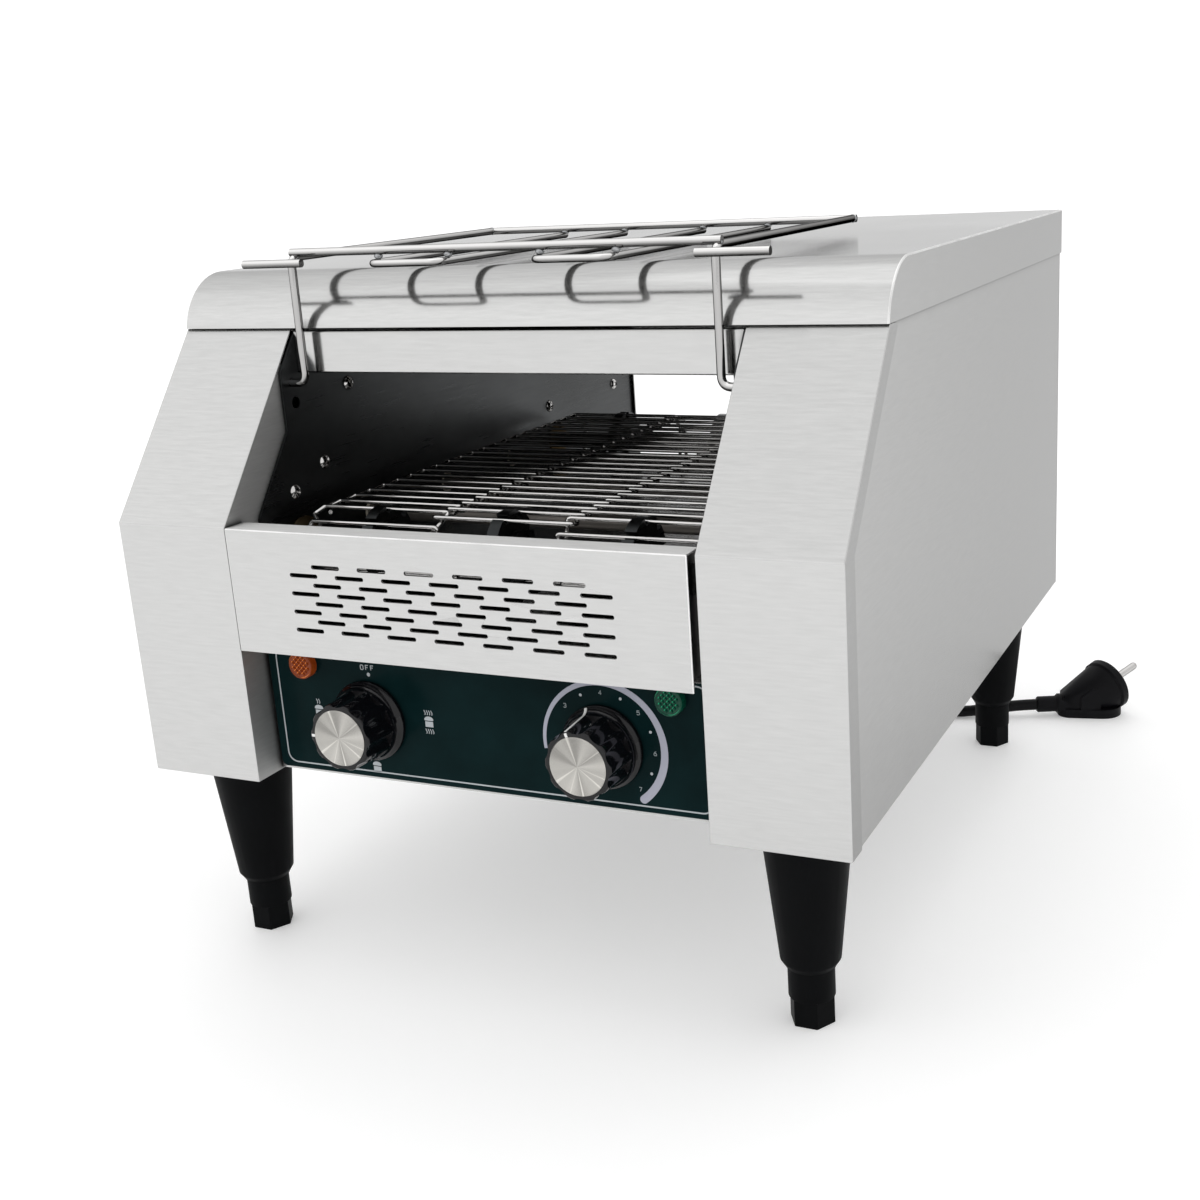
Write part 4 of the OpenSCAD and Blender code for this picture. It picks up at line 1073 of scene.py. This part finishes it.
def weld(bm, where, radii):
    """A small melted bead where two wires cross."""
    made = bmesh.ops.create_icosphere(bm, subdivisions=3, radius=1)
    matrix = Matrix.Translation(where) @ Matrix.Diagonal((*(r * MM for r in radii), 1))
    bmesh.ops.transform(bm, matrix=matrix, verts=made["verts"])


def make_rack():
    """Two hooked side wires, a stub at each front corner, two cross wires, hairpins and their welds."""
    rear = HOOK_Y + RACK_D
    low = RACK_TOP - (2 * RACK_R - 0.5)
    wires, hairpins = [], []
    for side in (-1, 1):
        hook = [at(side * HOOK_X, HOOK_Y, HOOK_Z), at(side * RACK_X, HOOK_Y, HOOK_Z),
                at(side * RACK_X, HOOK_Y, RACK_TOP), at(side * RACK_X, rear - 1, RACK_TOP)]
        wires.append(rounded(hook, 5 * MM, 8))
        wires.append([at(side * (RACK_X + x), HOOK_Y - 3, RACK_TOP - 2.6) for x in (-8, STUB_OUT)])
    wires.append([at(x, rear, RACK_TOP) for x in (-RACK_X - 2, RACK_X + 2)])
    wires.append([at(x, HOOK_Y + 3, RACK_TOP + 2) for x in (-RACK_X - 2, RACK_X + 2)])
    for x0, x1 in HAIRPINS:
        pin = [at(x0, rear, low), at(x0, HOOK_Y - 6, low), at(x1, HOOK_Y - 6, low), at(x1, rear, low)]
        hairpins.append(rounded(pin, 7 * MM, 8))
    add("rack_frame", wire_curve("rack_frame", wires, RACK_R * MM, 5), "rack", RACK_WIRE,
        "chrome_wire", ["warming_rack"])
    add("rack_hairpins", wire_curve("rack_hairpins", hairpins, HAIRPIN_R * MM, 5), "rack", RACK_WIRE,
        "chrome_wire")
    bm = bmesh.new()
    for side in (-1, 1):
        weld(bm, at(side * RACK_X, HOOK_Y + 3, RACK_TOP + 1), (2.3, 1.6, 1.9))
        weld(bm, at(side * (RACK_X - 4), HOOK_Y - 0.6, RACK_TOP - 2), (3.2, 1.7, 1.3))
        weld(bm, at(side * RACK_X, rear - 0.6, RACK_TOP), (2.6, 2.3, 2.15))
    for x in (end for pair in HAIRPINS for end in pair):
        weld(bm, at(x, HOOK_Y + 3, RACK_TOP - 0.6), (2.1, 1.9, 1.6))
        weld(bm, at(x, rear, RACK_TOP - 1.8), (2.1, 1.9, 1.6))
    add("rack_welds", mesh_from("rack_welds", bm), "rack", MATERIALS["motor_metal"], "chrome_wire")


make_rack()


# ---------------------------------------------------------------- cord

CORD_LINE = cord_line()
cord = add("mains_cord", wire_curve("mains_cord", [CORD_LINE], CORD_D / 2, 5), "root",
           MATERIALS["cord_rubber"], "cord_rubber", ["power_cord", "cord_coil", "cord_tail"])
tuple(CORD_LINE[0])
path_length(CORD_LINE)


# ---------------------------------------------------------------- floor, light and world

def make_floor():
    """A white floor that lights up a little by itself, so that it stays pale in the shade."""
    bm = bmesh.new()
    bmesh.ops.create_circle(bm, cap_ends=True, segments=96, radius=14)
    floor = bpy.data.objects.new("floor", mesh_from("floor", bm))
    bpy.context.scene.collection.objects.link(floor)
    floor.data.materials.append(Shader("white floor", (0.88, 0.88, 0.88), roughness=0.6,
                                       Emission_Color=(1, 1, 1, 1), Emission_Strength=0.2).material)


def make_light(name, place, target, size, power):
    """A square soft light that looks at a target and isn't seen itself."""
    data = bpy.data.lights.new(name, "AREA")
    data.size = size
    data.energy = power
    light = bpy.data.objects.new(name, data)
    light.location = place
    light.rotation_mode = "QUATERNION"
    light.rotation_quaternion = (Vector(target) - Vector(place)).to_track_quat("-Z", "Y")
    light.visible_camera = False
    bpy.context.scene.collection.objects.link(light)


def make_world():
    """A white room, dimmer towards its ceiling and on the right."""
    world = bpy.data.worlds.new("room")
    world.use_nodes = True
    tree = world.node_tree
    place = tree.nodes.new("ShaderNodeTexCoord")
    parts = tree.nodes.new("ShaderNodeSeparateXYZ")
    tree.links.new(place.outputs["Generated"], parts.inputs[0])
    levels = []
    for axis, start, end, level in (("Z", 0.45, 1.0, 0.85), ("X", 0.02, 0.35, 0.86)):
        fall = tree.nodes.new("ShaderNodeMapRange")
        fall.interpolation_type = "SMOOTHSTEP"
        for socket, value in (("From Min", start), ("From Max", end), ("To Min", 1), ("To Max", level)):
            fall.inputs[socket].default_value = value
        tree.links.new(parts.outputs[axis], fall.inputs["Value"])
        levels.append(fall)
    both = tree.nodes.new("ShaderNodeMath")
    both.operation = "MULTIPLY"
    for fall, socket in zip(levels, both.inputs):
        tree.links.new(fall.outputs["Result"], socket)
    tree.links.new(both.outputs[0], tree.nodes["Background"].inputs["Color"])
    tree.nodes["Background"].inputs["Strength"].default_value = 1.15
    bpy.context.scene.world = world


def make_sun():
    """Soft light from above and a little behind, mostly for the floor."""
    data = bpy.data.lights.new("sun", "SUN")
    data.energy = 0.25
    data.angle = math.radians(60)
    light = bpy.data.objects.new("sun", data)
    light.rotation_euler = (math.radians(-12), math.radians(4), 0)
    bpy.context.scene.collection.objects.link(light)


make_floor()
make_world()
make_sun()
make_light("soft box", (-0.75, -1.05, 1.6), (0, -0.15, 0.2), 2.2, 1.8)
bpy.context.scene.view_settings.view_transform = "Standard"
